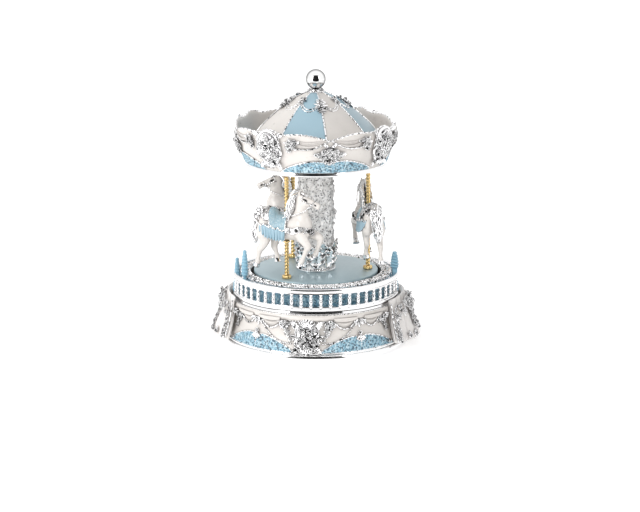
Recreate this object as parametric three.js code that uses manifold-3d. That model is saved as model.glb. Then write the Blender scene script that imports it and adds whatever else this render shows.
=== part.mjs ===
// Wind-up carousel music box: a silver-plated base with a hand-wound comb movement, and a
// carousel of three horses, column and canopy that the movement's spring barrel turns.
// Millimetres, +Z up, origin on the centre line at the surface the rubber feet stand on.
// The front faces -Y. A bearing is an angle in degrees, anticlockwise from the front seen
// from above, so 90 is the right-hand side (+X).
import * as THREE from "three";
import { mergeVertices } from "three/addons/utils/BufferGeometryUtils.js";
import Module from "manifold-3d";

const wasm = await Module();
wasm.setup();

// ---------- driving dimensions ----------
const GAP = 0.3; // between neighbouring pieces
const BIG_ROUND = 36; // sides of a large turned piece
const SMALL_ROUND = 12; // sides of a small one

const base = {
  rimRadius: 67,
  rimBottom: 0.6, // the rim hangs just clear of the table
  rimTop: 5.4,
  waistRadius: 58.8, // the skirt under its lip
  lipRadius: 61.5,
  lipTop: 33.2,
  deckRadius: 58.9, // the deck stands on a plinth above the lip
  deckInner: 49.5,
  deckThickness: 2.6,
  top: 36,
  wall: 2.6,
};
const drum = {
  radius: 52.5,
  wall: 2.5,
  ledgeRadius: 54.6,
  top: 52.4,
  recess: 47.1, // the turntable runs in it
  floor: 46.1,
  floorThickness: 2,
  hole: 6.2,
};
const fence = {
  inner: 57.6,
  outer: 60.2,
  top: 52,
  lowRail: 3.1,
  highRail: 4.2,
  halfSpan: 81, // degrees each side of its middle; two cypresses stand in each opening
  posts: 24, // on each of the two lengths
  postWidth: 2,
};
const turntable = { radius: 44.9, top: 53, thickness: 2.5, hub: 9, hubDepth: 1.6 };
const column = { radius: 12.9, wall: 2, footRadius: 14.1, footHeight: 2 };
const rod = { radius: 1.5, clear: 1.8 }; // the spindle, and the holes it passes through
const pole = { radius: 1.6, ring: 37.7, footRadius: 3.05, footHeight: 3.5, clear: 1.95 };
const canopy = { bottom: 130, rimRadius: 50.4, ceiling: 48.3, wall: 1.8 };
const ball = { radius: 7.2, centre: 191.6 };
// Where each pole stands, and how far its horse is turned on it from the ring's tangent.
const stands = [
  { bearing: -33.4, yaw: 8 }, { bearing: 86.6, yaw: 17 }, { bearing: 206.6, yaw: -20 },
];
const crownBearings = [-35, 55, 145, 235]; // the four rose medallions of the crown
const frontBearing = -6; // the base's front medallion
const movement = {
  plate: 11, // underside of the bedplate
  plateThickness: 2,
  flangeTop: 15.4,
  wheelRadius: 15.3, // pitch radius of the barrel's contrate wheel
  wheelTeeth: 40,
  pinionTeeth: 8,
};
const PINION_RADIUS = (movement.wheelRadius * movement.pinionTeeth) / movement.wheelTeeth;
const CYLINDER_Z = movement.flangeTop + 0.8 + PINION_RADIUS; // height of the pinned cylinder's axis
const governor = { y: 7.6, wheelX: 43, wormY: 13.1 };

// ---------- materials ----------
const paint = (color, roughness, metalness) =>
  new THREE.MeshStandardMaterial({ color, roughness, metalness });
const silver = paint(0xe4e4e6, 0.12, 1);
const gold = paint(0xd9a441, 0.25, 1);
const brass = paint(0xc2a25a, 0.35, 1);
const steel = paint(0x9a9da1, 0.3, 1);
const whiteEnamel = paint(0xece7e2, 0.3, 0);
const blueEnamel = paint(0x8fc1de, 0.3, 0);
const platformBlue = paint(0xa9c3cf, 0.25, 0.4);
const rubber = paint(0x202022, 0.9, 0);
const felt = paint(0x1f2a44, 0.95, 0);

// ---------- shape helpers ----------
const radians = (degrees) => (degrees * Math.PI) / 180;
const bearingAngle = (bearing) => radians(bearing - 90);

function at(bearing, radius, z = 0) {
  const angle = bearingAngle(bearing);
  return new THREE.Vector3(radius * Math.cos(angle), radius * Math.sin(angle), z);
}

const carousel = new THREE.Group();

function piece(name, geometry, material, parent = carousel) {
  const mesh = new THREE.Mesh(geometry, material);
  mesh.name = name;
  parent.add(mesh);
  return mesh;
}

// A profile of [radius, height] pairs turned about Z, outer side upwards.
function turned(profile, sides = BIG_ROUND) {
  const points = profile.map(([r, z]) => new THREE.Vector2(r, z));
  return new THREE.LatheGeometry(points, sides).rotateX(Math.PI / 2);
}

// The same for a ring, whose profile closes on itself.
const turnedRing = (profile, sides) => turned([...profile, profile[0]], sides);

const tube = (inner, outer, low, high, sides = SMALL_ROUND) =>
  turnedRing([[inner, low], [outer, low], [outer, high], [inner, high]], sides);

const disc = (radius, low, high, sides = SMALL_ROUND) =>
  turned([[0, low], [radius, low], [radius, high], [0, high]], sides);

function block(x0, x1, y0, y1, z0, z1) {
  return new THREE.BoxGeometry(x1 - x0, y1 - y0, z1 - z0)
    .translate((x0 + x1) / 2, (y0 + y1) / 2, (z0 + z1) / 2);
}

// A tapering rod from one point to another.
function limb(from, to, fromRadius, toRadius = fromRadius, sides = 6) {
  const a = new THREE.Vector3(...from);
  const b = new THREE.Vector3(...to);
  const along = b.clone().sub(a);
  const geometry = new THREE.CylinderGeometry(toRadius, fromRadius, along.length(), sides);
  const turn = new THREE.Quaternion()
    .setFromUnitVectors(new THREE.Vector3(0, 1, 0), along.clone().normalize());
  return geometry.applyQuaternion(turn).translate(...a.add(b).multiplyScalar(0.5).toArray());
}

function ellipsoid(centre, size, tilt = 0) {
  return new THREE.SphereGeometry(1, 7, 5)
    .rotateX(Math.PI / 2)
    .scale(...size)
    .rotateY(radians(tilt))
    .translate(...centre);
}

// Cross-sections with equal numbers of points, joined one to the next.
function loft(sections, closed) {
  const count = sections[0].length;
  const vertices = sections.flat();
  const faces = [];
  const last = closed ? sections.length : sections.length - 1;
  for (let i = 0; i < last; i++) {
    const here = i * count;
    const next = ((i + 1) % sections.length) * count;
    for (let j = 0; j < count; j++) {
      const k = (j + 1) % count;
      faces.push(here + j, next + j, here + k, here + k, next + j, next + k);
    }
  }
  if (!closed) {
    const end = (sections.length - 1) * count;
    for (let j = 1; j < count - 1; j++) {
      faces.push(0, j, j + 1, end, end + j + 1, end + j);
    }
  }
  const geometry = new THREE.BufferGeometry();
  geometry.setAttribute("position", new THREE.Float32BufferAttribute(vertices.flat(), 3));
  geometry.setIndex(faces);
  geometry.computeVertexNormals();
  return geometry;
}

// A ring, or a sector of one, whose [radius, height] section may change with the bearing.
function sweepRound(fromBearing, toBearing, steps, section) {
  const closed = toBearing - fromBearing >= 360;
  const sections = [];
  for (let i = 0; i < (closed ? steps : steps + 1); i++) {
    const bearing = fromBearing + ((toBearing - fromBearing) * i) / steps;
    sections.push(section(bearing).map(([r, z]) => at(bearing, r, z).toArray()));
  }
  return loft(sections, closed);
}

function solid(geometry) {
  const bare = geometry.index ? geometry.toNonIndexed() : geometry;
  const plain = new THREE.BufferGeometry()
    .setAttribute("position", bare.getAttribute("position"));
  const merged = mergeVertices(plain, 1e-4);
  return new wasm.Manifold(new wasm.Mesh({
    numProp: 3,
    vertProperties: merged.attributes.position.array,
    triVerts: new Uint32Array(merged.index.array),
  }));
}

function geometryOf(manifold) {
  const mesh = manifold.getMesh();
  const geometry = new THREE.BufferGeometry();
  geometry.setAttribute("position", new THREE.BufferAttribute(mesh.vertProperties, mesh.numProp));
  geometry.setIndex(new THREE.BufferAttribute(mesh.triVerts, 1));
  geometry.computeVertexNormals();
  return geometry;
}

const join = (...pieces) => geometryOf(pieces.map(solid).reduce((a, b) => a.add(b)));
const cut = (body, ...tools) =>
  geometryOf(tools.map(solid).reduce((a, b) => a.subtract(b), solid(body)));

// ---------- base ----------
// Outer radius of the flared skirt at a height.
function skirtRadius(z) {
  const t = THREE.MathUtils.clamp((z - base.rimTop) / (28 - base.rimTop), 0, 1);
  return 64.3 - (64.3 - base.waistRadius) * Math.sin((t * Math.PI) / 2);
}

function baseShell() {
  const skirt = [6.4, 13, 20, 28].map((z) => [skirtRadius(z), z]);
  const inside = [28, 20, 13, 6.4].map((z) => [skirtRadius(z) - base.wall, z]);
  return turnedRing([
    [63.6, base.rimBottom], [base.rimRadius - 0.6, base.rimBottom],
    [base.rimRadius, 3], [base.rimRadius - 1, base.rimTop], ...skirt,
    [60.4, 28.7], [base.lipRadius, 30], [base.lipRadius, 32], [60.6, base.lipTop],
    [base.deckRadius, base.lipTop], [base.deckRadius, base.top], [base.deckInner, base.top],
    [base.deckInner, base.top - base.deckThickness],
    [base.deckRadius - base.wall, base.top - base.deckThickness], ...inside,
  ]);
}

function drumHousing() {
  const inner = drum.radius - drum.wall;
  const floorTop = drum.floor + drum.floorThickness;
  return turnedRing([
    [drum.hole, drum.floor], [inner, drum.floor], [inner, base.top], [drum.radius, base.top],
    [drum.radius, drum.top - 3.4], [drum.ledgeRadius, drum.top - 2.6],
    [drum.ledgeRadius, drum.top - 0.6], [drum.ledgeRadius - 0.6, drum.top],
    [drum.recess, drum.top], [drum.recess, floorTop], [drum.hole, floorTop],
  ]);
}

// One length of the fence: two rails and the posts between them, cast as one piece.
function balustrade(centre) {
  const from = centre - fence.halfSpan;
  const pitch = (2 * fence.halfSpan) / fence.posts;
  const rail = (low, high) => sweepRound(from, centre + fence.halfSpan, fence.posts, () => [
    [fence.inner, low], [fence.outer, low], [fence.outer, high], [fence.inner, high],
  ]);
  const lowRailTop = base.top + fence.lowRail;
  const highRailLow = fence.top - fence.highRail;
  const middle = (fence.inner + fence.outer) / 2;
  const posts = [];
  for (let i = 0; i < fence.posts; i++) {
    const bearing = from + pitch * (i + 0.5);
    const post = block(-0.9, 0.9, -fence.postWidth / 2, fence.postWidth / 2,
      lowRailTop - 0.5, highRailLow + 0.5);
    const { x, y } = at(bearing, middle);
    posts.push(post.rotateZ(bearingAngle(bearing)).translate(x, y, 0));
  }
  return join(rail(base.top, lowRailTop), rail(highRailLow, fence.top), ...posts);
}

// The closing plate under the base, with a cup for the winding key.
const KEY_CUP = 22;
function bottomPlate() {
  return turnedRing([
    [2.4, 9.4], [KEY_CUP, 9.4], [KEY_CUP, 2.2], [60.6, 2.2], [60.6, 4],
    [KEY_CUP + 1.8, 4], [KEY_CUP + 1.8, movement.plate], [2.4, movement.plate],
  ]);
}

// A domed oval that follows a round wall; wall gives the wall's radius at a height.
function medallion(centre, wall, middle, halfWidth, halfHeight, thickness) {
  const reach = THREE.MathUtils.radToDeg(halfWidth / wall(middle));
  const levels = [-1, -0.6, 0, 0.6, 1];
  return sweepRound(centre - reach, centre + reach, 8, (bearing) => {
    const across = (0.92 * (bearing - centre)) / reach;
    const fullness = Math.sqrt(1 - across * across);
    const heights = levels.map((level) => middle + level * halfHeight * fullness);
    const face = heights.map((z, i) => {
      const dome = fullness * Math.sqrt(1 - 0.8 * levels[i] * levels[i]);
      return [wall(z) + 2 * GAP + thickness * dome, z];
    });
    const back = heights.map((z) => [wall(z) + 2 * GAP, z]).reverse();
    return [...face, ...back];
  });
}

// A buttress beside the base: a flared drape that widens towards its foot, clear above the rim.
const BUTTRESS_HALF_ANGLE = 27;
function buttress(centre) {
  const levels = [base.rimTop + 0.8, 12, 18, 24, 31];
  const reach = [76.6, 75.2, 72.4, 69.8, 67.8];
  const half = BUTTRESS_HALF_ANGLE;
  return sweepRound(centre - half, centre + half, 10, (bearing) => {
    const swell = Math.cos((radians(bearing - centre) * 90) / (half + 6));
    const back = base.rimRadius + 0.6;
    const outer = levels.map((z, i) => [back + 0.8 + (reach[i] - back - 0.8) * swell, z]);
    return [...outer, [62.4 + 4.4 * swell, 38.6], [62, 35], [62, 31], [62, 28.2],
      [62.6, 24], [64.6, 14], [66.9, levels[0]]];
  });
}

// A clipped cypress: a ridged crown on a trunk. It stands on the deck.
function cypress({ top, trunk, crown, crownLow }) {
  const height = top - crownLow;
  return turned([
    [0, base.top], [trunk, base.top], [trunk, crownLow], [crown, crownLow + height * 0.25],
    [crown * 0.85, crownLow + height * 0.6], [crown * 0.5, top - 4], [1.2, top - 2.2],
    [1.2, top - 0.8], [0, top],
  ], 8);
}

const trees = [
  { bearing: -65, distance: 56.1, top: 72, trunk: 1.2, crown: 2.4, crownLow: 52.6 },
  { bearing: -92, distance: 57.2, top: 60.5, trunk: 2, crown: 2.2, crownLow: 41 },
  { bearing: -85.5, distance: 58.6, top: 45.4, trunk: 1.1, crown: 1.7, crownLow: 37 },
  { bearing: 91, distance: 57.2, top: 65.3, trunk: 2, crown: 2.6, crownLow: 53 },
  { bearing: 84.8, distance: 57.7, top: 47.4, trunk: 1.4, crown: 2.3, crownLow: 37 },
];

function buildBase() {
  piece("base_shell", baseShell(), silver);
  piece("drum_housing", drumHousing(), blueEnamel);
  piece("balustrade_front", balustrade(0), silver);
  piece("balustrade_rear", balustrade(180), silver);
  piece("bottom_plate", bottomPlate(), felt);
  piece("spindle_bush", turnedRing([
    [rod.clear, drum.floor - 1.5], [8, drum.floor - 1.5], [8, drum.floor - GAP],
    [drum.hole - GAP, drum.floor - GAP], [drum.hole - GAP, drum.floor + 1.9],
    [rod.clear, drum.floor + 1.9],
  ], SMALL_ROUND), brass);
  for (let i = 0; i < 4; i++) {
    const { x, y } = at(45 + 90 * i, 53);
    piece(`rubber_foot_${i + 1}`, disc(5, 0, 2.1).translate(x, y, 0), rubber);
  }
  for (let i = 0; i < 3; i++) {
    const { x, y } = at(120 * i, 40);
    piece(`bottom_screw_${i + 1}`, disc(2.6, 0.9, 2.1).translate(x, y, 0), steel);
  }
  piece("front_medallion", medallion(frontBearing, skirtRadius, 17.2, 9.6, 10.6, 2.6), silver);
  piece("rear_medallion",
    medallion(frontBearing + 180, skirtRadius, 17.2, 9.6, 10.6, 2.6), silver);
  piece("left_buttress", buttress(frontBearing - 90), silver);
  piece("right_buttress", buttress(frontBearing + 90), silver);
  trees.forEach((tree, i) => {
    const { x, y } = at(tree.bearing, tree.distance);
    piece(`cypress_${i + 1}`, cypress(tree).translate(x, y, 0), blueEnamel);
  });
}

// ---------- movement ----------
// A toothed outline round the origin, with its first tooth on the +X axis.
function toothedShape(teeth, root, tip, phase = 0) {
  const points = [];
  for (let i = 0; i < teeth; i++) {
    for (const [radius, share] of [[root, -0.25], [tip, -0.12], [tip, 0.12], [root, 0.25]]) {
      const angle = ((i + share) / teeth) * Math.PI * 2 + phase;
      points.push(new THREE.Vector2(radius * Math.cos(angle), radius * Math.sin(angle)));
    }
  }
  return new THREE.Shape(points);
}

// A gear lying along X between two stations, its outline's +X axis turned to +Y.
function gearAlongX(teeth, root, tip, from, to, phase = 0) {
  return new THREE.ExtrudeGeometry(toothedShape(teeth, root, tip, phase), {
    depth: to - from, bevelEnabled: false,
  }).rotateX(Math.PI / 2).rotateZ(Math.PI / 2).translate(from, 0, 0);
}

const shaftAlongX = (radius, from, to) => limb([from, 0, 0], [to, 0, 0], radius, radius, 12);

// The spring barrel: a cup whose flange carries the contrate wheel's teeth.
function springBarrel() {
  const flange = 17;
  const cup = turnedRing([
    [2.2, 13.5], [flange, 13.5], [flange, movement.flangeTop], [12.3, movement.flangeTop],
    [12.3, 22.8], [11.2, 22.8], [11.2, movement.flangeTop + 0.2], [2.2, movement.flangeTop + 0.2],
  ]);
  const teeth = [];
  for (let i = 0; i < movement.wheelTeeth; i++) {
    const tooth = block(13.6, flange - 0.2, -0.26, 0.26, movement.flangeTop - 0.4,
      movement.flangeTop + 1.15);
    teeth.push(tooth.rotateZ(((i + 0.5) / movement.wheelTeeth) * Math.PI * 2));
  }
  return join(cup, ...teeth);
}

// The mainspring's flat spiral.
function mainspring() {
  const turns = 3.5;
  const steps = 56;
  const outer = [];
  const inner = [];
  for (let i = 0; i <= steps; i++) {
    const angle = (i / steps) * turns * Math.PI * 2;
    const radius = 3 + (7.4 * i) / steps;
    outer.push(new THREE.Vector2((radius + 0.3) * Math.cos(angle), (radius + 0.3) * Math.sin(angle)));
    inner.push(new THREE.Vector2((radius - 0.3) * Math.cos(angle), (radius - 0.3) * Math.sin(angle)));
  }
  const outline = new THREE.Shape([...outer, ...inner.reverse()]);
  return new THREE.ExtrudeGeometry(outline, { depth: 6.6, bevelEnabled: false })
    .translate(0, 0, movement.flangeTop + 0.6);
}

// Eighteen steel teeth of growing length on one plate.
const COMB = { from: 18.6, pitch: 0.98, teeth: 18, tip: -6.5, back: -24.5, root: -14 };
function toneComb() {
  const points = [[COMB.from, COMB.back]];
  const right = COMB.from + COMB.pitch * COMB.teeth;
  points.push([right, COMB.back]);
  for (let i = COMB.teeth - 1; i >= 0; i--) {
    const x = COMB.from + COMB.pitch * i;
    const root = COMB.root - (4 * (COMB.teeth - i)) / COMB.teeth;
    points.push([x + 0.72, root], [x + 0.72, COMB.tip], [x + 0.16, COMB.tip], [x + 0.16, root]);
  }
  const outline = new THREE.Shape(points.map(([x, y]) => new THREE.Vector2(x, y)));
  return new THREE.ExtrudeGeometry(outline, { depth: 0.9, bevelEnabled: false })
    .translate(0, 0, CYLINDER_Z - 0.45);
}

// A four-start worm with two air-brake blades on its shaft.
function governorFly() {
  const steps = 20;
  const length = 7.2;
  const lead = 4.96; // four times the wheel's tooth pitch
  const sections = [];
  for (let i = 0; i <= steps; i++) {
    const z = 14.6 + (length * i) / steps;
    const section = [];
    for (let j = 0; j < 8; j++) {
      const angle = (j / 8 + (length * i) / (steps * lead)) * Math.PI * 2;
      const radius = j % 2 ? 0.75 : 1.1;
      section.push([radius * Math.cos(angle), radius * Math.sin(angle), z]);
    }
    sections.push(section.reverse());
  }
  const shaft = disc(0.6, 13.4, 28.4, 8);
  const blades = block(-4.4, 4.4, -0.4, 0.4, 24.4, 27.8);
  return join(loft(sections, false), shaft, blades)
    .translate(governor.wheelX, governor.wormY, 0);
}

function governorBracket() {
  const plateTop = movement.plate + movement.plateThickness;
  return cut(
    join(
      block(44.5, 45.5, -3, 15.5, plateTop, 23.6),
      block(41, 45.5, 11, 15.5, 22.7, 23.6),
    ),
    disc(1, 20, 25).translate(governor.wheelX, governor.wormY, 0),
    limb([44, governor.y, CYLINDER_Z], [46, governor.y, CYLINDER_Z], 1),
    limb([44, 0, CYLINDER_Z], [46, 0, CYLINDER_Z], 1.5),
  );
}

// The plate that carries the cylinder's arbor beside the barrel.
function cylinderBracket() {
  const plateTop = movement.plate + movement.plateThickness;
  return cut(
    block(17.35, 18.25, -3, 3, plateTop, CYLINDER_Z + 3.4),
    limb([17, 0, CYLINDER_Z], [19, 0, CYLINDER_Z], 1.5),
  );
}

function bedplate() {
  const outline = new THREE.Shape();
  outline.moveTo(-19, -14).lineTo(12, -27).lineTo(44, -27).lineTo(48, -23).lineTo(48, 14)
    .lineTo(44, 18).lineTo(-12, 18).lineTo(-19, 12);
  outline.holes.push(new THREE.Path().absarc(0, 0, 2.6, 0, Math.PI * 2, true));
  return new THREE.ExtrudeGeometry(outline, {
    depth: movement.plateThickness - 0.1, bevelEnabled: false, curveSegments: 12,
  }).translate(0, 0, movement.plate + 0.1);
}

// Two round wings on a hub, turned by hand from below.
function windingKey() {
  const wings = new THREE.Shape();
  wings.moveTo(-4, -2.6).lineTo(4, -2.6).absarc(9, 0, 3.6, radians(-120), radians(120), false);
  wings.lineTo(-4, 2.6).absarc(-9, 0, 3.6, radians(60), radians(300), false);
  for (const side of [-1, 1]) {
    wings.holes.push(new THREE.Path().absarc(side * 9, 0, 1.7, 0, Math.PI * 2, true));
  }
  const plate = new THREE.ExtrudeGeometry(wings, {
    depth: 1.8, bevelEnabled: false, curveSegments: 8,
  }).translate(0, 0, -0.9).rotateX(Math.PI / 2).translate(0, 0, 4.6);
  return cut(join(plate, disc(2.8, 1.6, 9)), disc(1.5, 6, 9.5));
}

function buildMovement() {
  const plateTop = movement.plate + movement.plateThickness;
  piece("movement_bedplate", bedplate(), steel);
  piece("spring_barrel", springBarrel(), brass);
  piece("mainspring", mainspring(), steel);
  piece("barrel_cover", join(disc(12.3, 23, 24, 24), disc(3.4, 23.5, 27)), brass);
  piece("winding_arbor", disc(1.25, 6.3, 22.4), steel);
  piece("winding_key", windingKey(), brass);

  const cylinderLine = new THREE.Group();
  cylinderLine.position.z = CYLINDER_Z;
  carousel.add(cylinderLine);
  const barrel = tube(1.6, 5.7, 0, COMB.pitch * COMB.teeth, 24).rotateY(Math.PI / 2)
    .translate(COMB.from, 0, 0);
  piece("pinned_cylinder", barrel, brass, cylinderLine);
  piece("cylinder_arbor", join(
    shaftAlongX(1.1, 13.9, 45.3),
    gearAlongX(movement.pinionTeeth, PINION_RADIUS - 0.7, PINION_RADIUS + 0.3, 13.9, 16.6),
    gearAlongX(30, 5.1, 5.9, 38, 40),
  ), steel, cylinderLine);

  const governorLine = new THREE.Group();
  governorLine.position.set(0, governor.y, CYLINDER_Z);
  carousel.add(governorLine);
  piece("governor_wheel", join(
    shaftAlongX(0.6, 37, 45.2),
    gearAlongX(8, 1.15, 1.9, 37.8, 40.2, Math.PI / 8),
    gearAlongX(20, 3.6, 4.3, 42.1, 43.9),
  ), brass, governorLine);

  piece("governor_fly", governorFly(), whiteEnamel);
  piece("governor_bracket", governorBracket(), steel);
  piece("cylinder_bracket", cylinderBracket(), steel);
  piece("comb_block",
    block(COMB.from - 0.6, 37, -25.5, -17.8, plateTop, CYLINDER_Z - 0.5), brass);
  piece("tone_comb", toneComb(), steel);
  [22.5, 32.5].forEach((x, i) => {
    const screw = disc(1.9, CYLINDER_Z + 0.5, CYLINDER_Z + 1.7).translate(x, -21.4, 0);
    piece(`comb_screw_${i + 1}`, screw, steel);
  });
}

// ---------- carousel ----------
// A horse in its own frame: the pole on the Z axis, heading +X, heights above the turntable.
function horse() {
  const body = [
    ellipsoid([-2, 0, 37], [19, 7.6, 9.4], 4),
    ellipsoid([12.5, 0, 40], [7.5, 6.4, 9], -20),
    limb([11, 0, 42], [12.5, 0, 61], 6, 3.9),
    ellipsoid([17, 0, 59.4], [9, 3.8, 4.6], 22),
    ellipsoid([7.5, 0, 58], [3.6, 3.4, 8.6], 8),
    ellipsoid([-7, 0, 47.5], [7.4, 6, 5.4], 30),
    ellipsoid([-25, -2, 38], [6.4, 5, 10], -28),
    limb([12.2, 0, 62], [11.6, 0, 67.6], 2.6, 0.6),
  ];
  const legs = [
    [[13, -3.4, 34], [18.5, -3.6, 26], [12.8, -3.6, 12]],
    [[12, 3.4, 34], [23.6, 3.6, 31], [19.4, 3.6, 17]],
    [[-15, -3.6, 33], [-14.5, -3.6, 21], [-22, -3.6, 9]],
    [[-13, 3.6, 33], [-8.6, 3.6, 23], [-9, 3.6, 11.8]],
  ];
  for (const [hip, knee, hoof] of legs) {
    body.push(limb(hip, knee, 4, 2.6), limb(knee, hoof, 2.6, 2.2));
  }
  const hole = disc(pole.clear, 10, 80).rotateZ(0.1);
  return cut(join(...body), hole);
}

function buildHorses() {
  const shape = horse();
  stands.forEach(({ bearing, yaw }, i) => {
    const stand = new THREE.Group();
    stand.position.copy(at(bearing, pole.ring, turntable.top));
    stand.rotation.z = radians(bearing + yaw);
    carousel.add(stand);
    const foot = turned([
      [0, 0], [pole.footRadius, 0], [pole.footRadius, 2.6], [2.4, pole.footHeight],
      [0, pole.footHeight],
    ], SMALL_ROUND);
    const height = canopy.bottom - turntable.top;
    piece(`horse_${i + 1}`, shape, whiteEnamel, stand);
    piece(`pole_foot_${i + 1}`, foot, gold, stand);
    piece(`pole_${i + 1}`, disc(pole.radius, pole.footHeight, height, 10), gold, stand);
  });
}

// Outer radius of the crown's flared wall at a height.
const crownProfile = [
  [50.4, 133.3], [51.6, 136.6], [54.2, 143.4], [56.4, 150], [57.4, 156], [57.8, 165],
];
function crownRadius(z) {
  const above = crownProfile.findIndex(([, height]) => height >= z);
  const upper = above < 1 ? crownProfile.length - 1 : above;
  const [r1, z1] = crownProfile[upper];
  const [r0, z0] = crownProfile[upper - 1];
  return r0 + ((r1 - r0) * (z - z0)) / (z1 - z0);
}

// Height of the crown's scalloped edge: eight humps, with a dip every 45 degrees.
function crownTop(bearing) {
  const phase = radians((bearing - crownBearings[0]) * 8);
  return 156.4 + 4.6 * Math.sqrt((1 - Math.cos(phase)) / 2);
}

function valance() {
  return sweepRound(crownBearings[0], crownBearings[0] + 360, 40, (bearing) => {
    const top = crownTop(bearing);
    const wall = [135, 143.4, 150].map((z) => [crownRadius(z), z]);
    const inside = [150, 143.4, 135].map((z) => [crownRadius(z) - canopy.wall, z]);
    return [
      [canopy.ceiling + GAP, canopy.bottom], [canopy.rimRadius, canopy.bottom],
      [canopy.rimRadius + 0.4, 132.4], ...wall, [crownRadius(top), top],
      [crownRadius(top) - canopy.wall, top], ...inside, [canopy.ceiling + GAP, 132.4],
    ];
  });
}

// Eight gores between ribs, as a thin shell with an open foot.
const roofRib = [
  [5.6, 182.4], [16, 177.4], [27.5, 169], [36, 161.6], [41.8, 155.4], [50.6, 143.2],
];
function roof() {
  const sag = (bearing) => 1 - 0.035 * Math.abs(Math.sin(radians((bearing + 35) * 4)));
  return sweepRound(-35, 325, 32, (bearing) => {
    const outer = roofRib.map(([r, z]) => [r * sag(bearing), z]).reverse();
    const inner = roofRib.map(([r, z]) => [r * sag(bearing) - 1.1, z - 1.2]);
    inner[0][0] = 2.2;
    outer.push([2.2, roofRib[0][1]]);
    return [...outer, ...inner];
  });
}

function buildCarousel() {
  const { top, thickness, radius, hub, hubDepth } = turntable;
  const low = top - thickness;
  piece("spindle_rod", disc(rod.radius, 27, ball.centre - 5), steel);
  piece("turntable", turnedRing([
    [rod.clear, low - hubDepth], [hub, low - hubDepth], [hub, low],
    [radius, low], [radius, top - 0.4], [radius - 0.4, top], [rod.clear, top],
  ]), platformBlue);
  const columnLow = top + column.footHeight;
  piece("column_foot", tube(rod.clear, column.footRadius, top, columnLow, 24), silver);
  piece("column", tube(column.radius - column.wall, column.radius, columnLow, canopy.bottom, 24),
    silver);
  buildHorses();
  piece("ceiling_plate", tube(rod.clear, canopy.ceiling, canopy.bottom, canopy.bottom + 2.1, BIG_ROUND), silver);
  piece("valance", valance(), whiteEnamel);
  piece("roof", roof(), blueEnamel);
  crownBearings.forEach((bearing, i) => {
    const cushion = medallion(bearing, crownRadius, 152, 8.6, 12.4, 2.4);
    piece(`crown_medallion_${i + 1}`, cushion, silver);
  });
  piece("finial_neck", turnedRing([
    [rod.clear, 182.7], [5.8, 182.7], [6.4, 183.5], [5.8, 184.2], [rod.clear, 184.2],
  ], 24), silver);
  const socket = disc(rod.clear, ball.centre - ball.radius - 1, ball.centre - 4);
  const sphere = new THREE.SphereGeometry(ball.radius, 16, 12).rotateX(Math.PI / 2)
    .translate(0, 0, ball.centre);
  piece("finial_ball", cut(sphere, socket), silver);
}

buildBase();
buildMovement();
buildCarousel();

export default carousel;
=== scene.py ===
"""A wind-up carousel music box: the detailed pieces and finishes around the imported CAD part.

Shapes are worked out in millimetres, in the CAD frame, and made in metres. A bearing is in degrees,
anticlockwise from the front (-Y) seen from above. Everything built from a Form is a closed mesh.
"""
import math
import bpy
import numpy as np
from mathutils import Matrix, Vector


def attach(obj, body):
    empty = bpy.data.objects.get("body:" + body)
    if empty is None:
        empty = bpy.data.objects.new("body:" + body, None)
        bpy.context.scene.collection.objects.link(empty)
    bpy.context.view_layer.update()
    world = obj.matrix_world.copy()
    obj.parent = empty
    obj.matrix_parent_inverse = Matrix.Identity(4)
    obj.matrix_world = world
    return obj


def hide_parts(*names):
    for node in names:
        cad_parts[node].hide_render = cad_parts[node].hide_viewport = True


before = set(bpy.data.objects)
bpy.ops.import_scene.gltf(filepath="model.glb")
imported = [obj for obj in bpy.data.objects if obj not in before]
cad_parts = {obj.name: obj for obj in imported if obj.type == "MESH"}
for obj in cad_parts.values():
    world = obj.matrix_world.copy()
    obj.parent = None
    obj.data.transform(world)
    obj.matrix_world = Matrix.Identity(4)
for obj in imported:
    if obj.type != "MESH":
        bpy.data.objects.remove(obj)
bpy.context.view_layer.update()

MM = 0.001


# ---------------------------------------------------------------- forms
class Form:
    """Points in millimetres with the quads and triangles between them."""

    def __init__(self, points, quads=None, tris=None):
        self.points = np.asarray(points, float).reshape(-1, 3)
        self.quads = np.zeros((0, 4), int) if quads is None else np.asarray(quads, int).reshape(-1, 4)
        self.tris = np.zeros((0, 3), int) if tris is None else np.asarray(tris, int).reshape(-1, 3)

    def at(self, origin, right=(1, 0, 0), up=(0, 1, 0), out=(0, 0, 1), size=1.0):
        """The form moved to origin, with its x, y and z axes turned to right, up and out."""
        axes = np.array([right, up, out], float)
        turned = self.points @ axes * size + origin
        order = -1 if np.linalg.det(axes) < 0 else 1
        return Form(turned, self.quads[:, ::order], self.tris[:, ::order])

    def upside_down(self):
        return self.at((0, 0, 0), (-1, 0, 0), (0, -1, 0))

    def bent(self, change):
        """The form with every point passed through change."""
        return Form(change(self.points), self.quads, self.tris)


def unit(vector):
    return vector / np.linalg.norm(vector)


def circle(count):
    """Angles all the way round, in radians."""
    return np.linspace(0, 2 * np.pi, count, endpoint=False)


def merged(forms):
    """Several forms as one, without joining them."""
    points, quads, tris, start = [], [], [], 0
    for form in forms:
        points.append(form.points)
        quads.append(form.quads + start)
        tris.append(form.tris + start)
        start += len(form.points)
    return Form(np.vstack(points), np.vstack(quads), np.vstack(tris))


def facing_out(form):
    """Turns the faces round if they enclose a negative volume."""
    p = form.points - form.points.mean(0)
    q, t = form.quads, form.tris
    corners = np.vstack([t, q[:, [0, 1, 2]], q[:, [0, 2, 3]]])
    a, b, c = p[corners[:, 0]], p[corners[:, 1]], p[corners[:, 2]]
    if np.einsum("ij,ij->i", a, np.cross(b, c)).sum() < 0:
        return Form(form.points, q[:, ::-1], t[:, ::-1])
    return form


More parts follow.
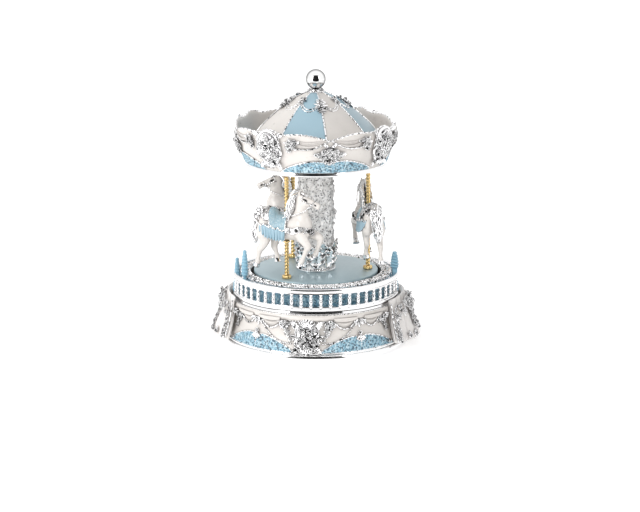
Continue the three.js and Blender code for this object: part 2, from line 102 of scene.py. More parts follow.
def skin(rows, looped=False, flat_caps=False):
    """A closed body through equal closed rows of points. looped joins the last row to the first."""
    rows = np.asarray(rows, float)
    n, m = rows.shape[:2]
    i = np.arange(n if looped else n - 1)[:, None]
    j = np.arange(m)[None, :]
    k, j2, i2 = i * m, (j + 1) % m, (i + 1) % n * m
    quads = np.stack([(k + j).ravel(), (k + j2).ravel(), (i2 + j2).ravel(), (i2 + j).ravel()], 1)
    points, tris = rows.reshape(-1, 3), np.zeros((0, 3), int)
    end = (n - 1) * m
    if not looped and flat_caps:
        half = np.arange(m // 2 - 1)
        cap = np.stack([half, m - 1 - half, m - 2 - half, half + 1], 1)
        quads = np.vstack([quads, cap, cap[:, ::-1] + end])
    elif not looped:
        first = len(points)
        points = np.vstack([points, rows[0].mean(0), rows[-1].mean(0)])
        j, j2 = j.ravel(), j2.ravel()
        tris = np.vstack([
            np.stack([np.full(m, first), j2, j], 1),
            np.stack([np.full(m, first + 1), end + j, end + j2], 1),
        ])
    return facing_out(Form(points, quads, tris))


def shell(grid, thickness):
    """A thin closed body round a grid of points."""
    grid = np.asarray(grid, float)
    normal = np.cross(np.gradient(grid, axis=0), np.gradient(grid, axis=1))
    normal /= np.linalg.norm(normal, axis=2, keepdims=True) + 1e-9
    step = normal * np.asarray(thickness) / 2
    rows = np.concatenate([grid + step, (grid - step)[:, ::-1]], axis=1)
    return skin(rows, flat_caps=True)


def curved(points, count):
    """A smooth line of count points through the given ones."""
    p = np.asarray(points, float)
    p = np.vstack([2 * p[0] - p[1], p, 2 * p[-1] - p[-2]])
    t = np.linspace(0, len(p) - 3 - 1e-9, count)
    i = t.astype(int)
    f = (t - i)[:, None]
    a, b, c, d = p[i], p[i + 1], p[i + 2], p[i + 3]
    return 0.5 * (2 * b + (c - a) * f + (2 * a - 5 * b + 4 * c - d) * f**2
                  + (3 * b - a - 3 * c + d) * f**3)


def resampled(path, step):
    """The same line with even steps of about this length."""
    path = np.asarray(path, float)
    lengths = np.concatenate([[0], np.cumsum(np.linalg.norm(np.diff(path, axis=0), axis=1))])
    count = max(4, int(lengths[-1] / step) + 1)
    where = np.linspace(0, lengths[-1], count)
    return np.stack([np.interp(where, lengths, path[:, k]) for k in range(3)], 1)


def tube(path, radius, sides=8, flat=1.0, phase=None, looped=False):
    """A round bar along a path. radius may be one per point. phase scales it by side and point."""
    path = np.asarray(path, float)
    if looped:
        tangent = np.roll(path, -1, 0) - np.roll(path, 1, 0)
    else:
        tangent = np.gradient(path, axis=0)
    tangent /= np.linalg.norm(tangent, axis=1, keepdims=True) + 1e-12
    last = np.array([0.0, 0, 1])
    if abs(tangent[0] @ last) > 0.95:
        last = np.array([1.0, 0, 0])
    across = np.zeros_like(path)
    for i, t in enumerate(tangent):
        last = unit(last - t * (last @ t))
        across[i] = last
    other = np.cross(tangent, across)
    a = circle(sides)
    r = np.broadcast_to(np.asarray(radius, float).reshape(-1, 1), (len(path), sides))
    if phase is not None:
        r = r * phase(a[None, :], np.arange(len(path))[:, None])
    rows = (path[:, None] + (r * np.cos(a))[..., None] * across[:, None] * flat
            + (r * np.sin(a))[..., None] * other[:, None])
    return skin(rows, looped)


def rope(path, radius, pitch=None, looped=False):
    """A cord of two strands along a path, with one full twist in each pitch."""
    path = resampled(path, (pitch or radius * 5) / 8)
    if looped:
        path = path[:-1]
    turns = max(1, round(len(path) / 8)) / len(path)

    def lobes(a, i):
        return 0.78 + 0.26 * np.cos(2 * (a - np.pi * i * turns))

    return tube(path, radius, 10, phase=lobes, looped=looped)


def level_row(radius, angles, z, centre=(0, 0)):
    """A closed row of points at one height."""
    return np.stack([radius * np.cos(angles) + centre[0], radius * np.sin(angles) + centre[1],
                     np.full(len(angles), z)], 1)


def spun(profile, sides=24, centre=(0, 0)):
    """[radius, height] pairs turned about Z, closed on the axis at both ends."""
    a = circle(sides)
    return skin([level_row(r, a, z, centre) for r, z in profile])


def outward(bearing):
    """Direction away from the axis at a bearing."""
    a = np.radians(bearing)
    return np.stack([np.sin(a), -np.cos(a), np.zeros_like(a)], -1)


def tangent(bearing):
    """Direction round the axis at a bearing, to the right as seen from outside."""
    a = np.radians(bearing)
    return np.stack([np.cos(a), np.sin(a), np.zeros_like(a)], -1)


def polar(bearing, radius, z):
    """The points at these bearings, distances from the axis and heights."""
    bearing, radius, z = np.broadcast_arrays(np.asarray(bearing, float), radius, z)
    point = outward(bearing) * radius[..., None]
    point[..., 2] = z
    return point


def turned_ring(profile, sides=180):
    """A ring whose closed section may change with the bearing."""
    rows = []
    for bearing in np.linspace(0, 360, sides, endpoint=False):
        section = np.array(profile(bearing) if callable(profile) else profile, float)
        rows.append(polar(bearing, section[:, 0], section[:, 1]))
    return skin(rows, looped=True)


def ball(radius, sides=8, rows=5):
    a = np.linspace(-np.pi / 2, np.pi / 2, rows + 2)[1:-1]
    return spun([(radius * math.cos(t), radius * math.sin(t)) for t in a], sides)


def beads(points, radius, sides=7, rows=3):
    """A bead at each point."""
    bead = ball(radius, sides, rows)
    return merged([bead.at(p) for p in points])


def bead_ring(distance, z, count, radius, start=0.0, sides=7, rows=3):
    """Beads all the way round the axis."""
    bearings = np.linspace(start, start + 360, count, endpoint=False)
    return beads(polar(bearings, distance, z), radius, sides, rows)


def on_wall(form, bearing, z, wall, lift=0.0, spin=0.0, size=1.0, lean=None):
    """A rigid form set on a round wall, facing out along the wall's normal."""
    if lean is None:
        lean = math.atan2(wall(z + 0.5) - wall(z - 0.5), 1.0)
    out, right = outward(bearing), tangent(bearing)
    normal = out * math.cos(lean) - np.array([0, 0, math.sin(lean)])
    up = np.cross(normal, right)
    s, c = math.sin(math.radians(spin)), math.cos(math.radians(spin))
    origin = out * wall(z) + np.array([0, 0, z]) + normal * lift
    return form.at(origin, right * c + up * s, up * c - right * s, normal, size)


def wrapped(form, bearing, z, wall):
    """A flat design bent round a wall: x runs along the wall, y up it and z out of it."""
    def change(p):
        height = z + p[:, 1]
        around = bearing + np.degrees(p[:, 0] / wall(z))
        return polar(around, wall(height) + p[:, 2], height)
    return form.bent(change)


# ---------------------------------------------------------------- ornament
def petal(angle, inner, outer, rise, half, rows, cols):
    """A cupped petal of a rose, half being half its width in radians."""
    v = np.linspace(0, 1, rows)[:, None]
    u = np.linspace(-1, 1, cols)[None, :]
    reach = inner + (outer - inner) * v**0.8 - 0.16 * outer * u * u * v
    turn = angle + u * half * (0.7 + 0.3 * v)
    height = rise * np.sin(v * 2.15) + 0.05 * u * u * v
    return shell(np.stack([reach * np.cos(turn), reach * np.sin(turn), height + 0 * u], -1), 0.07)


def make_rose(rings, rows, cols):
    """A rose of radius 1 from rings of petals: count, inner, outer, rise, half width, turn."""
    parts = [spun([(0.5, -0.3), (0.74, -0.12), (0.72, 0.04), (0.3, 0.3)], 10)]
    for count, inner, outer, rise, half, phase in rings:
        for i in range(count):
            angle = phase + 2 * np.pi * i / count
            parts.append(petal(angle, inner, outer, rise, half, rows, cols))
    parts.append(spun([(0.15, 0.2), (0.17, 0.55), (0.12, 0.8), (0.03, 0.86)], 7))
    return merged(parts)


ROSE = make_rose([
    (5, 0.35, 1.0, 0.34, 0.80, 0.0), (5, 0.28, 0.78, 0.54, 0.78, 0.63),
    (4, 0.2, 0.55, 0.7, 0.9, 0.2), (3, 0.12, 0.34, 0.82, 1.1, 0.9)], 4, 5)
SMALL_ROSE = make_rose([
    (5, 0.3, 1.0, 0.4, 0.82, 0.0), (4, 0.2, 0.66, 0.64, 0.95, 0.5),
    (3, 0.1, 0.36, 0.84, 1.1, 0.2)], 3, 4)


def leaf(length, width, curl=0.25, lobes=0, rows=9, cols=5, thickness=0.35):
    """A leaf from the origin along +Y, with a folded midrib and, if it has lobes, a cut edge."""
    v = np.linspace(0, 1, rows)[:, None]
    u = np.linspace(-1, 1, cols)[None, :]
    outline = (np.maximum(v * (1 - v), 0) * 4) ** 0.6 * (1.15 - 0.45 * v) + 0.07
    if lobes:
        outline = outline * (1 + 0.26 * np.cos(2 * np.pi * lobes * v))
    x = u * width / 2 * outline
    y = length * (v + 0.05 * np.abs(u) * v)
    z = curl * length * v**2 + 0.22 * width * np.abs(u) ** 1.5 * outline
    grid = np.stack([x, y + 0 * u, z], -1)
    return shell(grid, thickness * (0.6 + 0.4 * (1 - np.abs(u)[..., None])))


LEAF = leaf(1.0, 0.46, 0.22, 0, thickness=0.07)
ACANTHUS = leaf(1.0, 0.62, 0.3, 4, rows=17, cols=7, thickness=0.07)


def scroll(length, bend, ends, radius):
    """A C-scroll in the XY plane with its middle at the origin along +Y."""
    count = 44
    s = np.linspace(-1, 1, count)
    step = length / (count - 1)
    heading = np.cumsum(bend + ends * np.abs(s) ** 4) * 2 / (count - 1)
    heading = heading - heading[count // 2] + np.pi / 2
    path = np.stack([np.cumsum(np.cos(heading)) * step, np.cumsum(np.sin(heading)) * step,
                     np.zeros(count)], 1)
    path = path - path[count // 2]
    bar = tube(path, radius * (1 - 0.5 * s**2), flat=0.8)
    return merged([bar, *(ball(radius * 0.95, 8, 4).at(path[k]) for k in (0, -1))])


def palmette(width, height, fingers):
    """A ribbed shell that fans upwards from the origin."""
    across = 8 * fingers + 1
    u = np.linspace(-1, 1, across)[None, :]
    v = np.linspace(0.06, 1, 9)[:, None]
    ridge = np.abs(np.cos(np.pi * fingers * (u + 1) / 2 + np.pi / 2))
    reach = v * (0.86 + 0.14 * ridge)
    x = np.sin(u * 1.25) * reach * width / 2 / math.sin(1.25)
    y = np.cos(u * 1.0) * reach * height
    z = 0.35 * width * np.sin(v * 2.6) * 0.35 + ridge * v * width * 0.055
    return shell(np.stack([x, y, z + 0 * u], -1), 0.5)


def bow(size):
    """A tied ribbon: two loops, two tails and a knot."""
    t = np.linspace(0, 2 * np.pi, 22)
    parts = []
    for side in (-1, 1):
        x = side * size * (0.12 + 0.44 * (1 - np.cos(t)))
        y = size * (0.30 * np.sin(t) + 0.12 * (1 - np.cos(t)))
        z = size * 0.16 * (1 - np.cos(t))
        parts.append(tube(np.stack([x, y, z], 1), size * 0.12, 8, flat=1.7))
        tail = leaf(size * 1.1, size * 0.42, 0.12, thickness=size * 0.12)
        turn = math.radians(180 + side * 32)
        c, s = math.cos(turn), math.sin(turn)
        parts.append(tail.at([0, 0, size * 0.05], [c, s, 0], [-s, c, 0]))
    parts.append(ball(size * 0.24, 10, 6).at([0, 0, size * 0.16]))
    return merged(parts)


def swag(wall, start, end, dip, radius, lift):
    """A cord that hangs from one [bearing, height] to another against a wall."""
    t = np.linspace(0, 1, 40)
    bearing = start[0] + (end[0] - start[0]) * t
    z = start[1] + (end[1] - start[1]) * t - dip * 4 * t * (1 - t)
    return rope(polar(bearing, wall(z) + lift, z), radius)


def leaves_round(count, radius, size, spread=360, phase=0):
    """Leaves that fan out in the XY plane."""
    parts = []
    for i in range(count):
        a = math.radians(phase + spread * (i / count if spread == 360 else i / max(1, count - 1)))
        up = np.array([math.cos(a), math.sin(a), 0])
        right = np.array([math.sin(a), -math.cos(a), 0])
        parts.append(LEAF.at(up * radius, right, up, np.cross(right, up), size))
    return merged(parts)


class Relief:
    """Ornament set on a wall and gathered for one piece. It may have a centre of its own to be put round."""

    def __init__(self, wall, bearing=0.0, height=0.0, radius=1.0):
        self.wall, self.bearing, self.height, self.radius = wall, bearing, height, radius
        self.forms = []

    def add(self, *forms):
        self.forms.extend(forms)

    def set(self, form, bearing, z, lift=0.0, spin=0.0, size=1.0, lean=None):
        self.add(on_wall(form, bearing, z, self.wall, lift, spin, size, lean))

    def put(self, form, x, y, lift, spin=0.0, size=1.0):
        """Sets a form x to the right of the centre and y above it."""
        self.set(form, self.bearing + math.degrees(x / self.radius), self.height + y, lift, spin, size)

    def leaves(self, bearing, z, lift, turns, size):
        """A leaf at each of these turns, from the same point."""
        for turn in turns:
            self.set(LEAF, bearing, z, lift, turn, size)

    def rose(self, bearing, z, size, lift=0.0, spin=0.0):
        """The large rose has more petals than the small one."""
        self.set(ROSE if size > 2.4 else SMALL_ROSE, bearing, z, lift + size * 0.25, spin, size)

    def bloom(self, x, y, size, lift, reach, phase, spin):
        """A rose near the centre, on five leaves."""
        self.put(leaves_round(5, size * 0.7, size * reach, phase=phase * size), x, y, lift - 0.3)
        self.put(ROSE, x, y, lift + size * 0.2, spin * size, size)

    def spray(self, bearing, z, size, lift, count, leaves, spin):
        """A cluster of roses with leaves behind them."""
        self.set(leaves_round(leaves, size * 0.6, size * 1.5, phase=spin + 20), bearing, z, lift)
        for i in range(count):
            a = math.radians(spin + 360 * i / count)
            across, height = (math.cos(a) * size * 0.85, math.sin(a) * size * 0.85) if count > 1 else (0, 0)
            self.rose(bearing + math.degrees(across / self.wall(z)), z + height,
                      size * (1.0 if i == 0 else 0.82), lift + 0.25 * size, spin + 40 * i)


# ---------------------------------------------------------------- finishes
def srgb(*channels):
    """A display colour, 0 to 255, as the linear colour that materials take."""
    linear = [c / 255 / 12.92 if c <= 10 else ((c / 255 + 0.055) / 1.055) ** 2.4 for c in channels]
    return (*linear, 1.0)


class Finish:
    """A node material in the making."""

    def __init__(self, name, metallic=0.0, coat=0.0, coat_roughness=0.1):
        self.made = bpy.data.materials.new(name)
        self.made.use_nodes = True
        self.tree = self.made.node_tree
        self.shader = self.tree.nodes["Principled BSDF"]
        self.shader.inputs["Metallic"].default_value = metallic
        self.shader.inputs["Coat Weight"].default_value = coat
        self.shader.inputs["Coat Roughness"].default_value = coat_roughness
        self.place = self.add("ShaderNodeTexCoord").outputs["Object"]

    def feed(self, socket, value):
        """Gives a socket a constant, or a link from another node."""
        if isinstance(value, bpy.types.NodeSocket):
            self.tree.links.new(value, socket)
        else:
            socket.default_value = value

    def add(self, kind, settings=None, **inputs):
        """A new node with its settings and inputs. An input may be named i and its number."""
        node = self.tree.nodes.new(kind)
        for key, value in (settings or {}).items():
            setattr(node, key, value)
        for key, value in inputs.items():
            numbered = key[0] == "i" and key[1:].isdigit()
            self.feed(node.inputs[int(key[1:]) if numbered else key], value)
        return node

    def noise(self, scale, detail=3.0):
        return self.add("ShaderNodeTexNoise", Vector=self.place, Scale=scale, Detail=detail,
                        Roughness=0.55).outputs["Fac"]

    def cells(self, scale):
        return self.add("ShaderNodeTexVoronoi", Vector=self.place, Scale=scale).outputs["Distance"]

    def ramp(self, value, *stops):
        node = self.add("ShaderNodeValToRGB", Fac=value)
        for element, (position, colour) in zip(node.color_ramp.elements, stops):
            element.position = position
            element.color = colour
        return node.outputs["Color"]

    def share(self, value, start, end, amount=1.0):
        """0 while value is below start and amount once it is above end."""
        return self.ramp(value, (start, (0, 0, 0, 1)), (end, (amount, amount, amount, 1)))

    def mix(self, share, a, b):
        return self.add("ShaderNodeMix", {"data_type": "RGBA"}, i0=share, i6=a, i7=b).outputs[2]

    def spread(self, value, low, high):
        """A value from 0 to 1 put on the range low to high."""
        return self.add("ShaderNodeMapRange", Value=value, i3=low, i4=high).outputs["Result"]

    def hollows(self, distance):
        """1 on open surface, towards 0 in creases."""
        return self.add("ShaderNodeAmbientOcclusion", {"samples": 6}, Distance=distance).outputs["AO"]

    def done(self, colour, roughness, height=None, strength=0.3, depth=0.0002):
        self.feed(self.shader.inputs["Base Color"], colour)
        self.feed(self.shader.inputs["Roughness"], roughness)
        if height is not None:
            bump = self.add("ShaderNodeBump", Strength=strength, Distance=depth, Height=height)
            self.feed(self.shader.inputs["Normal"], bump.outputs["Normal"])
        return self.made


def metal(name, bright, dark, roughness, crease=0.0012, grain=700.0, grip=0.2, edge=0.0, reflection_specks=0.0,
          metallic=1.0, turn=(0.46, 0.84), hollow=(0.16, 0.31)):
    """Plated metal: painted shade in creases and, if asked, painted dark reflections at edges and in specks.
    """
    f = Finish(name, metallic=metallic)
    # painted shade: the dark colour fills the creases, found by ambient occlusion
    colour = f.ramp(f.hollows(crease), (hollow[0], dark), (hollow[1], bright))
    # painted dark reflection where the surface turns away from view
    if edge:
        facing = f.add("ShaderNodeLayerWeight", Blend=0.5).outputs["Facing"]
        colour = f.mix(f.share(facing, *turn, edge), colour, dark)
    # painted dark reflections in small specks
    if reflection_specks:
        colour = f.mix(f.share(f.noise(reflection_specks, 1.0), 0.60, 0.63), colour, dark)
    rough = f.spread(f.noise(420, 2.0), roughness * 0.7, roughness * 1.5)
    return f.done(colour, rough, f.noise(grain, 2.0), grip, 0.00008)


def enamel(name, colour, shade, roughness=0.28, coat=0.5, crease=0.003, grain=500.0, metallic=0.0,
           depth=0.00006):
    """Sprayed enamel with slight unevenness, and painted shade in its creases."""
    f = Finish(name, metallic=metallic, coat=coat, coat_roughness=0.12)
    body = f.mix(f.spread(f.noise(90), 0.0, 0.25), colour, shade)
    # painted shade: darker towards the shade colour in creases, found by ambient occlusion
    body = f.mix(f.ramp(f.hollows(crease), (0.25, (1, 1, 1, 1)), (0.85, (0, 0, 0, 1))), body, shade)
    rough = f.spread(f.noise(300, 2.0), roughness * 0.8, roughness * 1.3)
    return f.done(body, rough, f.noise(grain), 0.25, depth)


def stippled(name, colour, pale, speck, scale, amount):
    """Textured enamel: small raised cells under pale flecks of painted highlight, and dark specks."""
    f = Finish(name, coat=0.35, coat_roughness=0.2)
    cell = f.cells(scale)
    specks = f.share(f.noise(scale * 1.25, 1.0), 0.52, 0.58, amount)
    # painted highlights: pale flecks, as glints on the stipple
    body = f.mix(f.share(f.noise(scale * 0.8, 2.0), 0.48, 0.60), colour, pale)
    body = f.mix(specks, body, speck)
    raised = f.add("ShaderNodeMath", {"operation": "SUBTRACT"}, i0=1.0, i1=cell).outputs[0]
    return f.done(body, f.spread(cell, 0.35, 0.56), raised, 0.8, 0.0004)


# The dark colour of each metal is painted shade in creases, and painted dark reflection at edges and in
# specks.
SILVER = metal("silver_relief", (0.985, 0.98, 0.985, 1), (0.02, 0.02, 0.022, 1), 0.12, 0.0011, edge=0.4,
               reflection_specks=600)
POLISHED = metal("silver_plate", (0.96, 0.955, 0.96, 1), (0.10, 0.10, 0.10, 1), 0.10, 0.0004, grip=0.05,
                 edge=0.25)
PALE_RELIEF = metal("pale_relief", (0.98, 0.975, 0.97, 1), (0.2, 0.2, 0.205, 1), 0.32, 0.0006,
                    edge=0.05, reflection_specks=700, metallic=0.0, hollow=(0.12, 0.24))
# near black: painted shadow line under the fence rail
GROOVE_SHADOW = metal("painted_groove_shadow", (0.06, 0.06, 0.065, 1), (0.02, 0.02, 0.02, 1), 0.4, 0.0008)
HAIR = metal("hair_silver", (0.975, 0.97, 0.975, 1), (0.04, 0.04, 0.045, 1), 0.16, edge=0.45)
MIRROR = metal("mirror_ball", (0.92, 0.92, 0.92, 1), (0.04, 0.04, 0.04, 1), 0.03, 0.0008, 200, 0.02,
               edge=0.8, turn=(0.34, 0.60))
GOLD = metal("gold_plate", (0.84, 0.62, 0.29, 1), (0.12, 0.06, 0.012, 1), 0.20, 0.0016, edge=0.5,
             hollow=(0.42, 0.74))
BRASS = metal("brass_part", (0.70, 0.54, 0.25, 1), (0.20, 0.13, 0.04, 1), 0.26, 0.002)
STEEL = metal("steel_part", (0.56, 0.57, 0.60, 1), (0.12, 0.12, 0.13, 1), 0.24, 0.002)
PEARL = enamel("pearl_enamel_coat", srgb(221, 216, 211), srgb(158, 153, 150), 0.28, 0.35)
# a lighter copy of the pearl enamel for the buttress curtains: painted light
LIT_PEARL = enamel("pearl_painted_lit", srgb(236, 232, 229), srgb(196, 191, 188), 0.24, 0.4, 0.0012)
# a darker copy of the pearl enamel for the crown's drapery: painted shade
SHADED_PEARL = enamel("pearl_painted_shade", srgb(205, 200, 196), srgb(146, 141, 138), 0.26, 0.35)
SKY = enamel("blue_enamel_coat", srgb(156, 184, 197), srgb(122, 154, 171), 0.34, 0.3)
TREE_BLUE = enamel("tree_enamel", srgb(138, 182, 202), srgb(62, 108, 136), 0.32, 0.3, 0.0018)
WOVEN = stippled("woven_blue", srgb(147, 176, 188), srgb(178, 197, 204), srgb(94, 128, 144), 1100, 0.45)
TEXTURED = stippled("textured_blue", srgb(136, 177, 196), srgb(187, 212, 222), srgb(34, 62, 82), 640,
                    0.85)
# a darker copy of the textured blue for the drum wall behind the fence: painted shade
SHADED_DRUM_BLUE = stippled("drum_blue_painted_shade", srgb(110, 155, 178), srgb(172, 202, 214), srgb(34, 62, 80), 700, 0.75)
SATIN = enamel("platform_coat", srgb(170, 190, 197), srgb(146, 172, 182), 0.42, 0.15, 0.004, 900,
               metallic=0.35, depth=0.00003)
BLACK = enamel("black_gloss", (0.006, 0.006, 0.007, 1), (0.002, 0.002, 0.002, 1), 0.12, 0.6)
# near black: the rubber of the feet, and the painted shadow in the gap round the turntable
RUBBER_AND_GAP_SHADOW = enamel("rubber_and_gap_shadow", (0.02, 0.02, 0.021, 1), (0.01, 0.01, 0.01, 1), 0.75, 0.0, 0.002, 1500)
FELT = enamel("felt_nap", (0.02, 0.03, 0.065, 1), (0.008, 0.012, 0.03, 1), 0.95, 0.0, 0.002, 2600,
              depth=0.0003)

SLOTS = {  # the CAD's colour slot for each finish
    "silver": (SILVER, POLISHED, PALE_RELIEF, GROOVE_SHADOW, HAIR, MIRROR),
    "gold": (GOLD,),
    "pearl_enamel": (PEARL, LIT_PEARL, SHADED_PEARL),
    "blue_enamel": (SKY, TREE_BLUE, WOVEN, TEXTURED, SHADED_DRUM_BLUE),
    "platform_blue": (SATIN,),
    "rubber": (BLACK, RUBBER_AND_GAP_SHADOW),
}
SLOT_OF = {finish: slot for slot, finishes in SLOTS.items() for finish in finishes}


def make(name, forms, finish, body, *replaced, sharp=None):
    """The shown piece made of these forms, in the place of the CAD nodes that are replaced."""
    form = forms if isinstance(forms, Form) else merged(forms)
    mesh = bpy.data.meshes.new(name)
    quads, tris = len(form.quads), len(form.tris)
    corners = np.concatenate([form.quads.ravel(), form.tris.ravel()])
    starts = np.concatenate([np.arange(quads) * 4, quads * 4 + np.arange(tris) * 3])
    mesh.vertices.add(len(form.points))
    mesh.loops.add(len(corners))
    mesh.polygons.add(quads + tris)
    mesh.vertices.foreach_set("co", (form.points * MM).astype(np.float32).ravel())
    mesh.loops.foreach_set("vertex_index", corners.astype(np.int32))
    mesh.polygons.foreach_set("loop_start", starts.astype(np.int32))
    mesh.update(calc_edges=True)
    mesh.validate()
    mesh.shade_smooth()
    if sharp:
        mesh.set_sharp_from_angle(angle=math.radians(sharp))
    mesh.materials.append(finish)
    piece = bpy.data.objects.new(name, mesh)
    bpy.context.scene.collection.objects.link(piece)
    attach(piece, body)
    if replaced:
        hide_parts(*replaced)


# ---------------------------------------------------------------- walls of the part
FRONT = -6.0  # bearing of the base's front medallion
CROWN_START = -35.0  # bearing of the first crown medallion
PANEL_FOOT = 6.7  # lower edge of the base's blue panels
PANEL_RADIUS = 60  # about where the blue panels lie
DRUM_RADIUS = 52.5
DECK = 36.0  # top of the base, which carries the drum, the fence and the trees
TURNTABLE_TOP = 53.0
CEILING = 130.0  # underside of the canopy


# Each wall function gives the outside radius of its body at a height.
def base_wall(z):
    z = np.asarray(z, float)
    skirt = 64.3 - 5.5 * np.sin(np.clip((z - 5.4) / 22.6, 0, 1) * np.pi / 2)
    return np.where(z > 28, np.interp(z, [28, 28.7, 30, 32, 33.2], [58.8, 60.4, 61.5, 61.5, 60.6]), skirt)


CROWN = curved([(50.4, 133.3), (51.6, 136.6), (54.2, 143.4), (56.4, 150), (57.4, 156), (57.8, 160),
                (58.4, 165)], 49)  # radius and height of the crown's outside


def crown_wall(z):
    return np.interp(z, CROWN[:, 1], CROWN[:, 0])


def crown_top(bearing):
    """Height of the crown's scalloped edge, which rises over each medallion."""
    bearing = np.asarray(bearing, float)
    phase = np.radians((bearing - CROWN_START) * 8)
    from_crest = np.abs((bearing - CROWN_START + 45) % 90 - 45)
    return 156.4 + 4.6 * np.sqrt((1 - np.cos(phase)) / 2) + 6.6 * np.exp(-((from_crest / 7.5) ** 2))


ROOF = curved([(5.6, 182.4), (16, 177.4), (27.5, 169), (36, 161.6), (41.8, 155.4), (50.6, 143.2)], 36)


def roof_point(bearing, share, lift=0.0):
    """A point on the roof: share 0 at the top, 1 at its foot. The gores sag between their ribs."""
    index = np.asarray(share, float) * (len(ROOF) - 1)
    r = np.interp(index, np.arange(len(ROOF)), ROOF[:, 0])
    z = np.interp(index, np.arange(len(ROOF)), ROOF[:, 1])
    sag = 1 - 0.035 * np.abs(np.sin(np.radians((np.asarray(bearing) - CROWN_START) * 4)))
    return polar(bearing, r * sag + 0.62 * lift, z + 0.78 * lift)


def roof_wall(z):
    return np.interp(-np.asarray(z, float), -ROOF[:, 1], ROOF[:, 0])


# ---------------------------------------------------------------- base
def quilted(run, z, pitch, power):
    """Small pillows on a wall, 0 in their seams and 1 in their middles."""
    return np.abs(np.sin(np.pi * (run + z) / pitch) * np.sin(np.pi * (run - z) / pitch)) ** power


def lens(wall, centre, half_span, low, top, relief, pitch, across=150, up=26):
    """A textured panel between a level edge and the curve top(u), u from -1 to 1."""
    u = np.linspace(-1, 1, across)[:, None]
    v = np.linspace(0, 1, up)[None, :]
    bearing = centre + half_span * u
    z = low + (top(u) - low) * v
    quilt = quilted(np.radians(bearing) * PANEL_RADIUS, z, pitch, 0.6)
    edge = np.clip(np.minimum(v, 1 - v) * 8, 0, 1)
    return shell(polar(bearing, wall(z) + 0.3 + relief * quilt * edge, z), 0.7)


def base_panel_top(u):
    """Upper edge of a blue panel, with a notch under its bow."""
    return 7.2 + 9.9 * np.cos(u * np.pi / 2) ** 0.75 - 1.2 * np.exp(-((u / 0.13) ** 2))


def edge_line(wall, centre, half_span, top, radius, lift, twisted=True):
    """A cord or a plain line along the curve top(u)."""
    u = np.linspace(-1, 1, 90)
    path = polar(centre + half_span * u, wall(top(u)) + lift, top(u))
    return rope(path, radius) if twisted else tube(path, radius, 8)


def draped(start, end, top, low, dip):
    """A gathered cloth swag on the base wall, from bearing to bearing."""
    t = np.linspace(0, 1, 40)[:, None]
    v = np.linspace(0, 1, 26)[None, :]
    hang = 4 * t * (1 - t)
    z = top - (top - low) * v - dip * hang * v**0.9
    fold = 0.5 + 0.5 * np.cos(v * np.pi * 2 * 2.6 + 0.6)
    proud = 0.35 + (0.5 + 1.0 * fold) * np.sin(np.pi * np.clip(v * 0.9 + 0.1, 0, 1)) * (0.25 + 0.75 * hang)
    return shell(polar(start + (end - start) * t, base_wall(z) + proud, z), 0.9)


PANELS = [FRONT + side * 37 + half * 180 for half in (0, 1) for side in (1, -1)]


